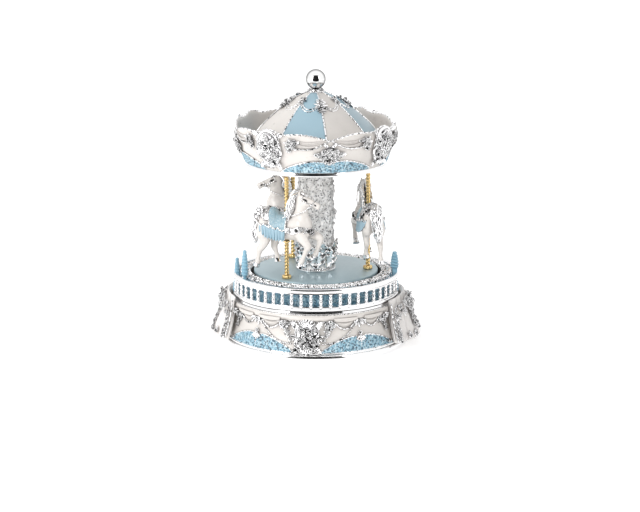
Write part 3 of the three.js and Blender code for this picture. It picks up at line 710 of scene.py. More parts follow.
def build_base():
    """The flared base with its panels, drapery, garlands and two medallions."""
    make("base_rim", turned_ring([
        (63.0, 0.6), (65.9, 0.6), (66.6, 1.2), (67, 2.4), (66.95, 3.6), (66.5, 4.7), (65.8, 5.35),
        (64.9, 5.5), (64.7, 5.9), (64.75, 6.3), (64.3, 6.6), (61.6, 6.6), (61.6, 1.4)]),
        POLISHED, "base", "base_shell", sharp=35)
    heights = np.linspace(6.4, 28.2, 16)
    outer = [(float(base_wall(z)), z) for z in heights]
    inner = [(r - 2.4, z) for r, z in outer[::-1]]
    make("base_skirt", turned_ring(outer + inner), PEARL, "base")
    make("base_lip", turned_ring([
        (57.6, 28.2), (58.9, 28.2), (59.9, 28.4), (60.8, 29.1), (61.35, 30), (61.55, 31), (61.4, 32),
        (60.9, 32.8), (60.2, 33.2), (57.6, 33.2)]), PEARL, "base")
    make("base_groove", turned_ring([
        (49.5, 33.5), (58.4, 33.5), (58.4, 33.1), (59.35, 33.1), (59.4, 33.6), (59.3, 34.1), (58.85, 35.8),
        (58.8, DECK), (49.5, DECK)]), POLISHED, "base")
    # painted shadow: a near-black ring under the fence rail, where shade falls
    make("base_groove_shadow_line", turned_ring([
        (57.0, 35.3), (59.5, 35.3), (59.75, 35.6), (59.75, 35.95), (57.0, 35.95)]), GROOVE_SHADOW, "base")
    around = np.linspace(0, 360, 361)
    silver = Relief(base_wall)
    silver.add(rope(polar(around, 60.1, 28.5), 0.42, looped=True))
    silver.add(rope(polar(around, 60.35, 33.15), 0.34, looped=True))
    panels, drapes = [], []
    for centre in PANELS:
        panels.append(lens(base_wall, centre, 27.3, PANEL_FOOT, base_panel_top, 0.42, 2.1))
        silver.add(edge_line(base_wall, centre, 27.6, base_panel_top, 0.62, 0.5))
        silver.add(edge_line(base_wall, centre, 27.4, lambda u: PANEL_FOOT + 0 * u, 0.32, 0.4, False))
        # the pendant that hangs into the panel from its bow
        silver.set(palmette(8.4, 5.2, 5).upside_down(), centre, 17.6, 0.7)
        silver.rose(centre, 18.6, 1.7, 0.8)
        for radius, z in ((0.75, 12.4), (0.61, 10.9), (0.47, 9.7)):
            silver.set(ball(radius), centre, z, 0.7)
        silver.set(bow(4.4), centre - 0.6, 28.3, 0.4)
        silver.set(leaves_round(5, 0.6, 4.2, 200, 170), centre, 27.2, 0.2)
        silver.rose(centre - 0.4, 27.6, 1.9, 1.2)
    for half in (0, 180):
        for side in (1, -1):
            near, middle, far = (FRONT + half + side * k for k in (15.5, 37, 58))
            silver.spray(near, 27.0, 2.7, 0.4, 3, 6, 90)
            for k in range(4):
                place = near - side * 1.4 * k
                silver.rose(place, 23.8 - 2.9 * k, 2.0 - 0.2 * k, 0.5, 60 * k)
                silver.leaves(place, 23.2 - 2.9 * k, 0.4, [side * (70 if k % 2 else -60)], 3.4)
            silver.spray(far, 27.2, 3.0, 0.5, 3, 7, 100)
            for start, end in ((near + side * 2.5, middle - side * 2.6),
                               (middle + side * 2.6, far - side * 2.5)):
                drapes.append(draped(start, end, 31.0, 28.6, 4.6))
                silver.add(swag(base_wall, (start, 28.2), (end, 28.6), 6.0, 0.62, 1.1))
            share = np.linspace(0, 1, 17)
            z = 12.6 + 12.0 * share - 3.4 * np.sin(np.pi * share)
            path = polar(FRONT + half + side * (10.5 + 23.5 * share), base_wall(z) + 0.5, z)
            silver.add(beads(path, 0.72), tube(path, 0.3, 6))
            for k in (0, 1, 2, 5):  # the garland that falls beside the buttress
                z = 23.6 - 3.1 * k
                bearing = FRONT + half + side * (60.2 + 0.25 * k)
                silver.rose(bearing, z, 1.9 - 0.1 * k, 0.6, 50 * k)
                silver.leaves(bearing, z - 0.6, 0.5, [side * (60 if k % 2 else -70)], 3.6)
    make("base_panels", panels, TEXTURED, "base")
    make("base_drapery", drapes, PEARL, "base")
    make("base_ornament", silver.forms, SILVER, "base")
    for name, bearing in (("front_medallion", FRONT), ("rear_medallion", FRONT + 180)):
        make(name + "_relief", base_medallion(bearing), SILVER, "base", name)


def base_medallion(bearing):
    """The rose cartouche between two panels."""
    relief = Relief(base_wall, bearing, 17.2, 62)
    u = np.linspace(-1, 1, 21)[:, None]
    v = np.linspace(-1, 1, 19)[None, :]
    half = 8.8 * np.sqrt(np.clip(1 - v**4, 0.02, 1)) * (1 + 0.16 * v * (v < 0))
    grid = np.stack([u * half, 11.2 * v + 0 * u, 0.9 + 1.2 * (1 - u**2) * (1 - v**2)], -1)
    relief.add(wrapped(shell(grid, 1.0), bearing, 17.2, base_wall))
    for side in (-1, 1):
        for height, length, turn in ((4.6, 15, 8), (-5.0, 13, -14)):
            relief.put(scroll(length, side * 1.3, side * 7.5, 1.0), side * 8.0, height, 1.6, side * turn)
        relief.put(ACANTHUS, side * 5.4, -7.4, 1.3, side * -132, 6.4)
        relief.put(ACANTHUS, side * 6.6, 5.8, 1.3, side * -38, 6.6)
        relief.put(LEAF, side * 7.4, 0.0, 1.6, side * -80, 4.8)
    relief.put(palmette(12.5, 8.4, 7), 0, 5.4, 1.5)
    relief.put(palmette(9.5, 5.6, 5).upside_down(), 0, -6.4, 1.6)
    for x, y, size, lift in ((0.4, 1.2, 4.4, 2.2), (-4.7, -3.0, 3.2, 1.9), (4.9, -3.4, 3.1, 1.9),
                             (0.1, -6.4, 2.6, 2.0), (-4.3, 5.2, 2.6, 1.9), (4.4, 5.6, 2.6, 1.9)):
        relief.bloom(x, y, size, lift, 0.9, 20, 30)
    relief.put(ball(0.9), 0, -12.0, 1.2)
    return relief.forms


# ---------------------------------------------------------------- buttresses
BUTTRESS_HALF = 27.0  # degrees to each side of its middle


def buttress_wall(swell):
    """Outer radius of a buttress as a function of height, where it swells that much."""
    def wall(z):
        reach = np.interp(z, [6.2, 12, 18, 24, 31, 38.6], [76.2, 74.9, 72.2, 69.6, 67.3, 65.6])
        back = np.interp(z, [6.2, 14, 24, 31, 38.6], [67.6, 65.0, 63.0, 62.6, 62.4])
        return back + (reach - back) * swell
    return wall


def swell_at(offset):
    """How far a buttress swells at this many degrees from its middle."""
    return math.cos(math.radians(offset * 90 / (BUTTRESS_HALF + 6)))


def curtain(centre):
    """Gathered cloth whose folds open towards the foot."""
    rows = []
    for offset in np.linspace(-BUTTRESS_HALF, BUTTRESS_HALF, 181):
        swell, share = swell_at(offset), offset / BUTTRESS_HALF
        levels = np.linspace(6.5, 36.6 + 2 * swell, 40)
        drop = 1 - (levels - 6.5) / 32
        fold = np.abs(np.cos(share * 7.85 / (0.6 + 0.4 * drop))) ** 0.7
        proud = 2.0 * fold * (0.3 + 0.7 * drop) * (1 - 0.4 * share**2)
        outer = list(zip(buttress_wall(swell)(levels) - 2.1 + proud, levels))
        back = [(62.4, levels[-1] - 0.6), (62.2, 33), (61.9, 28.5), (62.8, 22), (64.9, 13), (66.6, 6.5)]
        section = np.array(outer + back)
        rows.append(polar(centre + offset, section[:, 0], section[:, 1]))
    return skin(rows)


def build_buttress(name, centre):
    """A curtain that spreads to the foot, edged with roses, under a rose crest."""
    # the curtain takes the lighter pearl: painted light
    make(name + "_curtain", curtain(centre), LIT_PEARL, "base", name)
    relief = Relief(buttress_wall(1.0))

    def at(offset):
        """The bearing at this offset from the middle. What comes next is set on the wall there."""
        relief.wall = buttress_wall(swell_at(offset))
        return centre + offset

    for side in (-1, 1):
        for k, level in enumerate((8.6, 12.2, 16.0, 20.0, 24.4, 29.0)):
            bearing = at(side * (24.6 - 0.05 * level))
            relief.rose(bearing, level, 2.5 - 0.12 * k, -0.4, 40 * k)
            relief.leaves(bearing, level + 1.6, -0.3, [side * (70 if k % 2 else -70)], 3.8)
            relief.leaves(bearing, level + 1.2, -0.3, [side * (160 if k % 2 else 20)], 3.2)
        at(side * 26)
        z = np.linspace(7.2, 35, 46)
        relief.add(rope(polar(centre + side * 26.4, relief.wall(z) + 0.1, z), 0.7))
        for offset, low in ((15.5, 8.6), (9.0, 8.2)):
            bearing = at(side * offset)
            relief.rose(bearing, low + 1.0, 2.3, -0.6, 9 * offset)
            relief.leaves(bearing, low + 1.4, -0.7, (60, -60, 5), 3.6)
        for offset, level, size in ((15.0, 27.0, 2.6), (18.6, 31.0, 2.4), (12.0, 32.6, 2.5),
                                    (20.5, 25.0, 2.0)):
            bearing = at(side * offset)
            relief.rose(bearing, level, size, 0.0, 11 * offset)
            relief.leaves(bearing, level, -0.2, (side * 75, side * -65, side * 160), size * 1.8)
    for offset, first in ((-5.5, 15.6), (5.5, 9.6)):  # garlands that fall down the curtain
        for k in range(4):
            level = first + 3.8 * k
            bearing = at(offset * (1.3 - 0.03 * level))
            relief.rose(bearing, level, 2.3 - 0.08 * k, -1.0, 50 * k)
            relief.leaves(bearing, level + 0.6, -0.9, (80 + 12 * k, -75 + 12 * k, 170 + 12 * k), 3.9)
    at(0)
    relief.set(palmette(12, 6.4, 7), centre, 31.8, -0.2, lean=0.2)
    relief.set(leaves_round(9, 1.2, 5.8, 360, -30), centre, 30)
    relief.rose(centre, 30, 3.8, 0.3)
    for x, z, size in ((5.0, 32.6, 2.8), (8.6, 34.0, 2.3), (3.6, 26.0, 2.6), (7.4, 29.4, 2.2),
                       (0, 23.4, 2.3)):
        for offset in ((-x, x) if x else (0,)):
            relief.rose(at(offset), z, size, -0.2, 30 * offset)
            relief.leaves(centre + offset, z, -0.3, [-12 * offset], size * 1.7)
    at(0)
    relief.set(leaves_round(8, 1.2, 3.6, 360, 10), centre, 12.6, -2.2)
    relief.rose(centre, 12.6, 2.7, -2.0)
    for offset in (-4.6, 4.6):
        relief.rose(centre + offset, 9.8, 2.0, -2.2, 60)
    make(name + "_relief", relief.forms, SILVER, "base")


# ---------------------------------------------------------------- drum, fence and trees
def chased_ring(bearing):
    """Section of the ring on the drum, with its engraved top."""
    r = np.linspace(47.2, 54.3, 24)
    around = np.radians(bearing)
    chased = (np.abs(np.sin(1.9 * r + 2.6 * np.sin(56 * around))
                     * np.cos(76 * around + 1.8 * np.sin(1.4 * r)))
              + 0.6 * np.abs(np.sin(118 * around + 3.1 * r)))
    rounded = np.clip(np.minimum(r - 47.2, 54.3 - r) * 1.6, 0, 1)
    return [(50.4, DECK), (49.9, 46.1), (6.2, 46.1), (6.2, 48.1), (47.1, 48.1),
            *zip(r, 51.45 + chased * rounded),
            (54.65, 51.4), (54.65, 50.1), (54.2, 49.7), (52.2, 49.7), (51.2, DECK)]


def build_drum():
    """The blue wall on the base, the ring on it, and the fence round it."""
    bearing = np.linspace(0, 360, 540, endpoint=False)[:, None]
    z = np.linspace(36.2, 49.9, 26)[None, :]
    pillows = 96
    quilt = quilted(np.radians(bearing) * DRUM_RADIUS, z, 2 * np.pi * DRUM_RADIUS / pillows, 0.5)
    walls = [polar(bearing, 52.1 + 0.5 * quilt, z), polar(bearing, 50.2, z)[:, ::-1]]
    # the drum wall takes the darker textured blue: painted shade
    make("drum_wall", skin(np.concatenate(walls, 1), looped=True), SHADED_DRUM_BLUE, "base", "drum_housing")
    rail_low = [(57.6, DECK), (60.1, DECK), (60.35, 36.5), (60.3, 37.4), (59.7, 37.9), (59.9, 38.5),
                (59.6, 39.1), (57.9, 39.1)]
    rail_high = [(57.9, 47.8), (59.7, 47.8), (59.6, 48.5), (60.15, 49.0), (60.45, 49.9), (60.4, 51),
                 (59.9, 51.8), (59.1, 52.1), (58.2, 51.9), (57.6, 51.3)]
    post = spun([(1.3, 38.7), (1.5, 39.1), (1.5, 39.6), (0.9, 40.0), (1.0, 40.5), (1.42, 41.4),
                 (1.46, 42.4), (1.1, 43.3), (0.85, 43.9), (1.1, 44.4), (1.35, 45.2), (1.25, 46.0),
                 (0.9, 46.4), (1.3, 47.0), (1.55, 47.6), (1.6, 48.1)], 12)
    span, posts, post_distance = 162, 24, 58.9
    for name, centre in (("balustrade_front", 0), ("balustrade_rear", 180)):
        first = centre - span / 2
        parts = []
        for section in (rail_low, rail_high):
            parts.append(skin([polar(b, *np.transpose(section))
                               for b in np.linspace(first, first + span, 140)]))
        for i in range(posts):
            place = polar(first + span / posts * (i + 0.5), post_distance, 0)
            parts.append(post.at(place))
            for height in (43.9, 39.9):  # beads round the post's two necks
                parts.append(beads(level_row(1.15, circle(6), height, place[:2]), 0.36, 5))
        make(name + "_turned", parts, POLISHED, "base", name, sharp=40)
    make("drum_ring", [turned_ring(chased_ring, 1080), bead_ring(47.9, 52.0, 150, 0.68),
                       bead_ring(53.9, 51.9, 160, 0.7)], SILVER, "base", sharp=50)


TREES = [  # bearing, distance, top, radius of the trunk, radius of the crown, foot of the crown
    (-65, 56.1, 72, 1.2, 2.4, 52.5), (-92, 57.2, 60.5, 2.0, 2.3, 40), (-85.5, 58.6, 45.4, 1.1, 1.8, 36.6),
    (91, 57.2, 65.3, 2.1, 2.9, 52.6), (84.8, 57.7, 47.4, 1.6, 2.5, 36.6)]


def build_trees():
    """Clipped cypresses, each with a ridge that winds round it."""
    a = circle(24)
    for k, (bearing, distance, top, trunk, crown, low) in enumerate(TREES):
        height = top - low
        rings = max(4, round(height / 2.3))
        rows = []
        for s in np.linspace(0, 1, 12 * rings + 1):
            body = crown * np.interp(s, [0, 0.06, 0.16, 0.5, 0.8, 0.88, 0.94, 0.98, 1],
                                     [0.5, 0.86, 1, 0.88, 0.66, 0.5, 0.56, 0.42, 0.12])
            ridge = 0.76 + 0.38 * np.abs(np.sin(np.pi * (s * rings + a / (2 * np.pi)))) ** 0.7
            if s > 0.88:
                ridge = 1.08
            rows.append(level_row(body * ridge, a, low + height * s))
        stem = spun([(trunk, DECK), (trunk, 36.8), (trunk * 0.95, (DECK + low) / 2), (trunk, low + 0.6)], 16)
        node = f"cypress_{k + 1}"
        make(node + "_clipped", merged([skin(rows), stem]).at(polar(bearing, distance, 0)), TREE_BLUE,
             "base", node)


# ---------------------------------------------------------------- turntable, column and poles
def column_wall(z):
    """Radius of the column at a height."""
    return np.interp(z, [55, 57, 60, 90, 93.5, 97, 124, 127, CEILING],
                     [12.9, 12.4, 11.4, 11.3, 12.0, 11.3, 11.2, 12.2, 12.9])


def woven_column():
    """The column behind its roses: crossing ribs and fine strands."""
    bearing = np.linspace(0, 360, 162, endpoint=False)
    turn = np.radians(bearing)
    rows = []
    for z in np.linspace(55, CEILING, 150):
        weave = np.abs(np.sin(9 * turn + 0.55 * z) * np.sin(9 * turn - 0.47 * z + 1.2 * np.sin(3 * turn)))
        strand = np.abs(np.sin(27 * turn + 1.5 * np.sin(0.4 * z)))
        rows.append(polar(bearing, column_wall(z) - 0.3 + 0.8 * weave + 0.25 * strand, z))
    return skin(rows)


def build_turntable():
    """The turning disc, a black ring as painted shadow in the gap round it, and the column on it."""
    make("turntable_disc", turned_ring([
        (1.8, 48.9), (9, 48.9), (9, 50.5), (44.4, 50.5), (44.9, 51), (44.9, 52.5), (44.75, 52.85),
        (44.4, TURNTABLE_TOP), (1.8, TURNTABLE_TOP)]), SATIN, "carousel", "turntable", sharp=30)
    # painted shadow: a black ring fills the gap round the disc, where shade falls
    make("turntable_gap_shadow", turned_ring([
        (43.6, 48.2), (47.25, 48.2), (47.25, 51.5), (46.7, 51.5), (46.7, 48.7), (43.6, 48.7)], 120),
        RUBBER_AND_GAP_SHADOW, "base")
    foot = turned_ring([
        (10.5, TURNTABLE_TOP), (14, TURNTABLE_TOP), (14.3, 53.3), (14.3, 53.9), (13.9, 54.3), (13.5, 54.5),
        (13.3, 55.1), (10.5, 55.1)], 96)
    make("column_foot_ring", [foot, bead_ring(13.7, 54.7, 60, 0.55)], POLISHED, "carousel", "column_foot",
         sharp=40)
    relief, foot_leaves = Relief(column_wall), Relief(column_wall)
    relief.add(woven_column())
    for bearing in range(0, 360, 40):
        foot_leaves.set(ACANTHUS, bearing, 55.2, size=15.5)
        foot_leaves.set(ACANTHUS, bearing + 20, 61, 0.2, size=13.5)
        relief.set(ACANTHUS, bearing + 20, 129.4, -0.3, 180, 7.5)
        relief.set(LEAF, bearing, 118, 0.1, 165, 9.5)
        relief.set(palmette(7, 6.5, 5), bearing, 123, 0.3)
    rings = ((76, 2.2), (81.2, 2.0), (86.2, 2.3), (93.6, 3.0), (100.5, 2.3), (106, 2.0), (111.6, 2.5),
             (70, 1.6), (117.5, 1.9), (123.5, 1.7))
    for j, (level, size) in enumerate(rings):
        for k in range(9):
            bearing = 40 * (k + 0.5 * (j % 2)) + 7 * math.sin(j * 2.1 + k * 1.7)
            height = level + 0.9 * math.sin(k * 2.3 + j)
            twist = 20 * math.sin(3 * k + j)
            relief.rose(bearing, height, size, 0.1, 40 * k)
            relief.leaves(bearing, height, 0.25, (50 + twist, -55 + twist, 175 + twist), size * 2.1)
    make("column_relief", relief.forms, PALE_RELIEF, "carousel", "column")
    make("column_foot_leaves", foot_leaves.forms, SILVER, "carousel")


STANDS = [(-33.4, 8), (86.6, 17), (206.6, -20)]  # bearing of each pole, and how its horse is turned on it
POLE_RING = 37.7  # distance of the poles from the axis


def twisted_pole(centre, low, high):
    """A round bar wound with two strands."""
    a = circle(30)
    return skin([level_row(1.02 + 0.68 * np.abs(np.cos(a - 2 * np.pi * z / 5.0)), a, z, centre)
                 for z in np.arange(low, high + 0.01, 0.27)])


def build_poles():
    """The gold poles with their fluted cups and collars."""
    a = circle(72)
    flute = 0.12 * np.cos(12 * a)
    cup = [(2.9, TURNTABLE_TOP), (3.2, 53.25), (3.25, 54.7), (3.05, 55.5), (2.6, 55.8), (1.5, 55.9)]
    for k, (bearing, _) in enumerate(STANDS):
        centre = polar(bearing, POLE_RING, 0.0)[:2]
        parts = [
            twisted_pole(centre, 55.5, CEILING),
            skin([level_row(r + flute, a, z, centre) for r, z in cup]),
            spun([(1.6, 126.8), (2.3, 127.4), (2.1, 128), (2.7, 128.8), (2.7, CEILING)], 24, centre),
            spun([(1.6, 79.3), (2.35, 79.6), (2.5, 80.2), (2.35, 80.8), (1.6, 81.1)], 24, centre)]
        make(f"pole_{k + 1}_twisted", parts, GOLD, "carousel", f"pole_{k + 1}", f"pole_foot_{k + 1}",
             sharp=45)


# ---------------------------------------------------------------- canopy
def crown_panel_top(u):
    """Upper edge of a blue panel of the crown, with a notch under its cluster."""
    return 133.9 + 9.0 * np.cos(u * np.pi / 2) ** 0.7 - 1.6 * np.exp(-((u / 0.2) ** 2))


def crown_section(bearing):
    """Section of the crown at a bearing: up its outside, over its edge and down its inside."""
    top = float(crown_top(bearing))
    levels = np.linspace(132.6, top - 0.5, 20)
    outer = [(crown_wall(z) if z > 133.3 else 50.4, z) for z in levels]
    inner = [(max(crown_wall(z) - 1.7, 48.8), z) for z in levels[::-1]]
    edge = crown_wall(top)
    return [*outer, (edge - 0.3, top), (edge - 1.3, top), *inner]


def build_crown():
    """The crown round the canopy, and the ceiling under it."""
    make("crown_shell", turned_ring(crown_section, 320), PEARL, "carousel", "valance")
    make("crown_foot_ring", turned_ring([
        (48.7, CEILING), (50.2, 129.9), (50.9, 130.3), (51.15, 131.1), (51.0, 131.9), (50.5, 132.4),
        (50.6, 132.8), (50.4, 133.1), (48.7, 133.1)]), POLISHED, "carousel")
    silver = Relief(crown_wall)
    around = np.linspace(0, 360, 721)
    top = crown_top(around)
    silver.add(rope(polar(around, crown_wall(top) - 0.7, top + 0.1), 0.78, 3.4, looped=True))
    panels, drapery = [], []
    folds = np.linspace(0, 1, 34)
    for k in range(4):
        centre = CROWN_START + 45 + 90 * k
        panels.append(lens(crown_wall, centre, 36.6, 133.5, crown_panel_top, 0.4, 1.9, 170, 22))
        silver.add(edge_line(crown_wall, centre, 36.9, crown_panel_top, 0.6, 0.5))
        # the cluster in the dip, its cords, and the sprays beside the medallions
        silver.set(leaves_round(16, 4.2, 3.4), centre, 146.8, 0.2)
        for x, z, size in ((-7.4, 147.6, 2.2), (7.4, 147.6, 2.2), (-4.0, 149.4, 2.5), (0.0, 150.0, 2.6),
                           (4.0, 149.4, 2.5), (-4.9, 145.6, 2.3), (4.9, 145.6, 2.3), (-1.8, 146.6, 2.5),
                           (2.2, 146.4, 2.5), (-2.6, 143.0, 2.1), (2.6, 143.0, 2.1), (0, 141.4, 1.8)):
            silver.rose(centre + math.degrees(x / 54), z, size, 0.7, 70 * x)
        for side in (-1, 1):
            silver.set(LEAF, centre + side * 1.2, 152.4, 0.5, -side * 48, 4.6)
            silver.set(ACANTHUS, centre + side * 7.2, 147.2, 0.4, -side * 78, 4.6)
            ends = (centre + side * 1.2, 157.0), (centre + side * 28, 152.9)
            silver.add(swag(crown_wall, *ends, 3.9, 0.62, 0.7))
            for dip, width, height in ((3.4, 1.2, 156.2), (1.7, 0.9, 157.4)):
                z = height - dip * 4 * folds * (1 - folds)
                path = polar(centre + side * (4 + 22 * folds), crown_wall(z) + 0.1, z)
                drapery.append(tube(path, width * (0.3 + 0.7 * np.sin(np.pi * folds)), 10, flat=0.8))
            flank = centre + side * 27.6
            silver.spray(flank, 154.2, 2.5, 0.5, 3, 7, 90)
            silver.rose(flank - side * 2.8, 156.4, 1.7, 0.5)
            silver.rose(flank + side * 1.6, 150.2, 1.9, 0.5)
            silver.set(LEAF, flank - side * 3, 155.2, 0.5, side * 70, 4.2)
    make("crown_panels", panels, TEXTURED, "carousel")
    # the crown's drapery takes the darker pearl: painted shade
    make("crown_drapery", drapery, SHADED_PEARL, "carousel")
    make("crown_ornament", silver.forms, SILVER, "carousel")
    for k in range(4):
        node = f"crown_medallion_{k + 1}"
        plate, relief = crown_medallion(CROWN_START + 90 * k)
        make(node + "_plate", plate, POLISHED, "carousel", node)
        make(node + "_relief", relief, SILVER, "carousel")
    make("ceiling_disc", turned_ring([
        (1.8, 130.4), (14, 130.4), (14.4, CEILING), (47.9, CEILING), (48.3, 130.4), (48.3, 132.1),
        (1.8, 132.1)], 140), PEARL, "carousel", "ceiling_plate", sharp=30)


def crown_medallion(bearing):
    """The rose cartouche of the crown, under a shell: its plate and its relief."""
    u = np.linspace(-1, 1, 21)[:, None]
    v = np.linspace(-1, 1, 21)[None, :]
    half = 9.2 * np.sqrt(np.clip(1 - v**2, 0.02, 1))
    grid = np.stack([u * half, 12.6 * v + 0 * u, 0.9 + 1.6 * (1 - u**2) * (1 - v**2)], -1)
    t = circle(89)
    rim = np.stack([9.0 * np.sin(t), -12.2 * np.cos(t), np.full(len(t), 1.2)], 1)
    plate = [wrapped(form, bearing, 150.5, crown_wall)
             for form in (shell(grid, 1.0), tube(rim, 1.15, 10, looped=True))]
    relief = Relief(crown_wall, bearing, 150.5, 56)
    for side in (-1, 1):
        relief.put(scroll(16, side * 1.4, side * 7.0, 1.15), side * 9.6, -2.4, 1.9, side * -4)
        relief.put(scroll(10, side * 1.2, side * 7.0, 1.0), side * 8.0, 7.4, 1.6, side * 24)
        relief.put(ACANTHUS, side * 7.8, 9.4, 1.3, side * -70, 5.2)
        relief.put(ACANTHUS, side * 5.2, -9.8, 1.2, side * -140, 5.8)
    relief.put(palmette(10.5, 6.4, 9), 0, 5.0, 1.2)
    relief.put(palmette(11, 6.0, 7).upside_down(), 0, -8.2, 1.5)
    for x, y, size, lift in ((0.6, 0.4, 4.9, 2.2), (-5.2, 3.2, 3.1, 1.9), (5.2, 4.4, 3.0, 1.9),
                             (-4.8, -4.6, 3.1, 1.9), (4.9, -4.4, 3.2, 1.9), (0.2, -8.2, 2.7, 2.0),
                             (0.0, 7.2, 2.6, 2.4)):
        relief.bloom(x, y, size, lift, 0.95, 25, 33)
    return plate, relief.forms


def gores(first):
    """Every second gore of the roof, counted from a bearing."""
    across = np.linspace(0, 45, 19)[:, None]
    share = np.linspace(0.0, 1, 30)[None, :]
    return [shell(roof_point(first + 90 * k + across, share), 1.1) for k in range(4)]


def build_roof():
    """The gores of the roof, the ornament on them, and the finial."""
    make("roof_blue_gores", gores(CROWN_START), SKY, "carousel", "roof")
    make("roof_pearl_gores", gores(CROWN_START + 45), PEARL, "carousel")
    silver = Relief(roof_wall)
    t = np.linspace(0, 1, 40)

    def height(share):
        return float(roof_point(0, share)[2])

    for k in range(8):
        bearing = CROWN_START + 45 * k
        rib = roof_point(bearing, np.linspace(0.0, 1, 80), 0.5)
        silver.add(tube(rib, 0.62, 10) if k % 2 else rope(rib, 0.62, 2.4))
        for start in (0.19, 0.22):  # garland from this rib to the next
            silver.add(rope(roof_point(bearing + 45 * t, start + 0.5 * t * (1 - t), 0.6), 0.55, 2.2))
        if k % 2:
            for share, size, turn in ((0.27, 2.4, 20), (0.215, 1.7, 70), (0.33, 1.7, 130)):
                silver.spray(bearing, height(share), size, 0.9, 1, 9, turn)
            for spin in range(0, 360, 45):
                silver.set(LEAF, bearing, height(0.27), 1.8, spin, 4.6, lean=0.75)
        else:
            silver.spray(bearing, height(0.2), 1.7, 0.5, 3, 7, 30)
    make("roof_ornament", silver.forms, SILVER, "carousel")
    neck = turned_ring([(1.8, 181.6), (5.6, 181.6), (6.5, 182.2), (6.6, 182.9), (5.9, 183.4), (5.0, 183.8),
                        (4.7, 184.6), (1.8, 184.6)], 64)
    make("finial_collar", [neck, bead_ring(6.2, 183.1, 24, 0.78, sides=8, rows=4),
                           bead_ring(5.0, 184.5, 20, 0.6, 7)], SILVER, "carousel", "finial_neck", sharp=40)
    make("finial_mirror_ball", ball(7.2, 56, 32).at((0, 0, 191.6)), MIRROR, "carousel", "finial_ball")


# ---------------------------------------------------------------- horses
# A horse's own frame: its pole on the Z axis, heading +X, +Y to its left, heights above the turntable.
TORSO = np.array([  # x, height of the middle, half width, half height
    (-21.2, 40.6, 1.6, 2.0), (-20.4, 40.4, 3.6, 4.4), (-18.0, 39.6, 5.6, 6.9), (-14.5, 38.6, 6.7, 8.4),
    (-10.0, 37.8, 7.0, 8.5), (-5.0, 37.0, 6.7, 8.0), (0.0, 36.6, 6.4, 8.0), (5.0, 37.2, 6.4, 8.7),
    (9.5, 38.4, 6.4, 9.6), (13.5, 39.6, 5.9, 9.6), (16.8, 40.0, 4.5, 7.8), (18.9, 39.8, 2.6, 4.8),
    (19.8, 39.6, 1.0, 2.0)])
LEFT = np.array([0, 1.0, 0])


def torso(x, column):
    """A measure of the trunk at x, by its column in TORSO."""
    return np.interp(x, TORSO[:, 0], TORSO[:, column])


def stations(points, count, sides=16):
    """A body through [x, y, z, half width, half depth] stations, lying in planes across its own line."""
    p = curved(np.array(points, float), count)
    line = p[:, :3]
    along = np.gradient(line, axis=0)
    along /= np.linalg.norm(along, axis=1, keepdims=True)
    side = LEFT - along * along[:, 1:2]
    side /= np.linalg.norm(side, axis=1, keepdims=True)
    up = np.cross(along, side)
    a = circle(sides)
    rows = (line[:, None] + np.cos(a)[None, :, None] * side[:, None] * p[:, None, 3:4]
            + np.sin(a)[None, :, None] * up[:, None] * p[:, None, 4:5])
    return skin(rows)


def blob(centre, size, tilt):
    """An egg with these three half sizes, tipped forward."""
    c, s = math.cos(math.radians(tilt)), math.sin(math.radians(tilt))
    axes = np.array([[c, 0, -s], [0, 1, 0], [s, 0, c]])
    return facing_out(ball(1.0, 16, 9).bent(lambda p: (p * size) @ axes + centre))


def facing(out, across):
    """Axes to the right, up and out for an ornament that faces out, level with a direction across."""
    out = unit(out)
    right = unit(np.cross(across, out))
    return right, np.cross(out, right), out


LEGS = [
    # near fore, far fore (raised), near hind, far hind
    [(11.5, -3.6, 39, 3.2, 4.8), (13.6, -4.1, 33, 2.6, 3.7), (17.2, -4.1, 28, 1.9, 2.5),
     (18.6, -4.0, 25.6, 1.75, 2.0), (17.2, -3.9, 22.6, 1.15, 1.35), (15.0, -3.8, 17.6, 1.0, 1.15),
     (13.7, -3.8, 14.6, 1.35, 1.5), (12.9, -3.8, 12.8, 1.1, 1.2), (12.4, -3.8, 11.6, 1.4, 1.5)],
    [(11.0, 3.6, 39, 3.2, 4.8), (15.5, 4.1, 34.6, 2.7, 3.6), (20.5, 4.1, 32.6, 2.1, 2.6),
     (24.0, 4.1, 31.0, 1.9, 2.1), (24.2, 4.0, 28.2, 1.3, 1.5), (22.4, 4.0, 23.0, 1.0, 1.15),
     (21.0, 4.0, 19.6, 1.35, 1.5), (19.8, 4.0, 18.0, 1.1, 1.2), (19.0, 4.0, 16.9, 1.4, 1.5)],
    [(-14.5, -3.6, 39, 3.6, 6.0), (-15.5, -4.3, 32.5, 3.2, 4.9), (-15.2, -4.4, 27.4, 2.3, 3.2),
     (-17.4, -4.2, 22.6, 1.6, 2.0), (-19.4, -4.1, 20.2, 1.5, 1.85), (-20.2, -4.0, 16.6, 1.05, 1.25),
     (-20.9, -4.0, 13.2, 1.05, 1.2), (-21.2, -3.9, 11.4, 1.35, 1.5), (-21.9, -3.8, 9.6, 1.4, 1.5)],
    [(-13.5, 3.6, 39, 3.6, 6.0), (-13.0, 4.3, 32.5, 3.2, 4.9), (-11.4, 4.4, 28.0, 2.3, 3.2),
     (-11.8, 4.2, 23.6, 1.6, 2.0), (-11.9, 4.1, 21.6, 1.5, 1.85), (-10.6, 4.0, 18.4, 1.05, 1.25),
     (-9.7, 4.0, 15.6, 1.05, 1.2), (-9.3, 3.9, 13.8, 1.35, 1.5), (-9.0, 3.8, 12.4, 1.4, 1.5)],
]
HEAD_FROM, HEAD_TO = np.array([9.8, 0, 60.4]), np.array([25.8, 0, 54.7])


def head_point(share, drop):
    """A point on the head's line from the poll to the muzzle, moved by drop in height."""
    return HEAD_FROM + (HEAD_TO - HEAD_FROM) * share + [0, 0, drop]


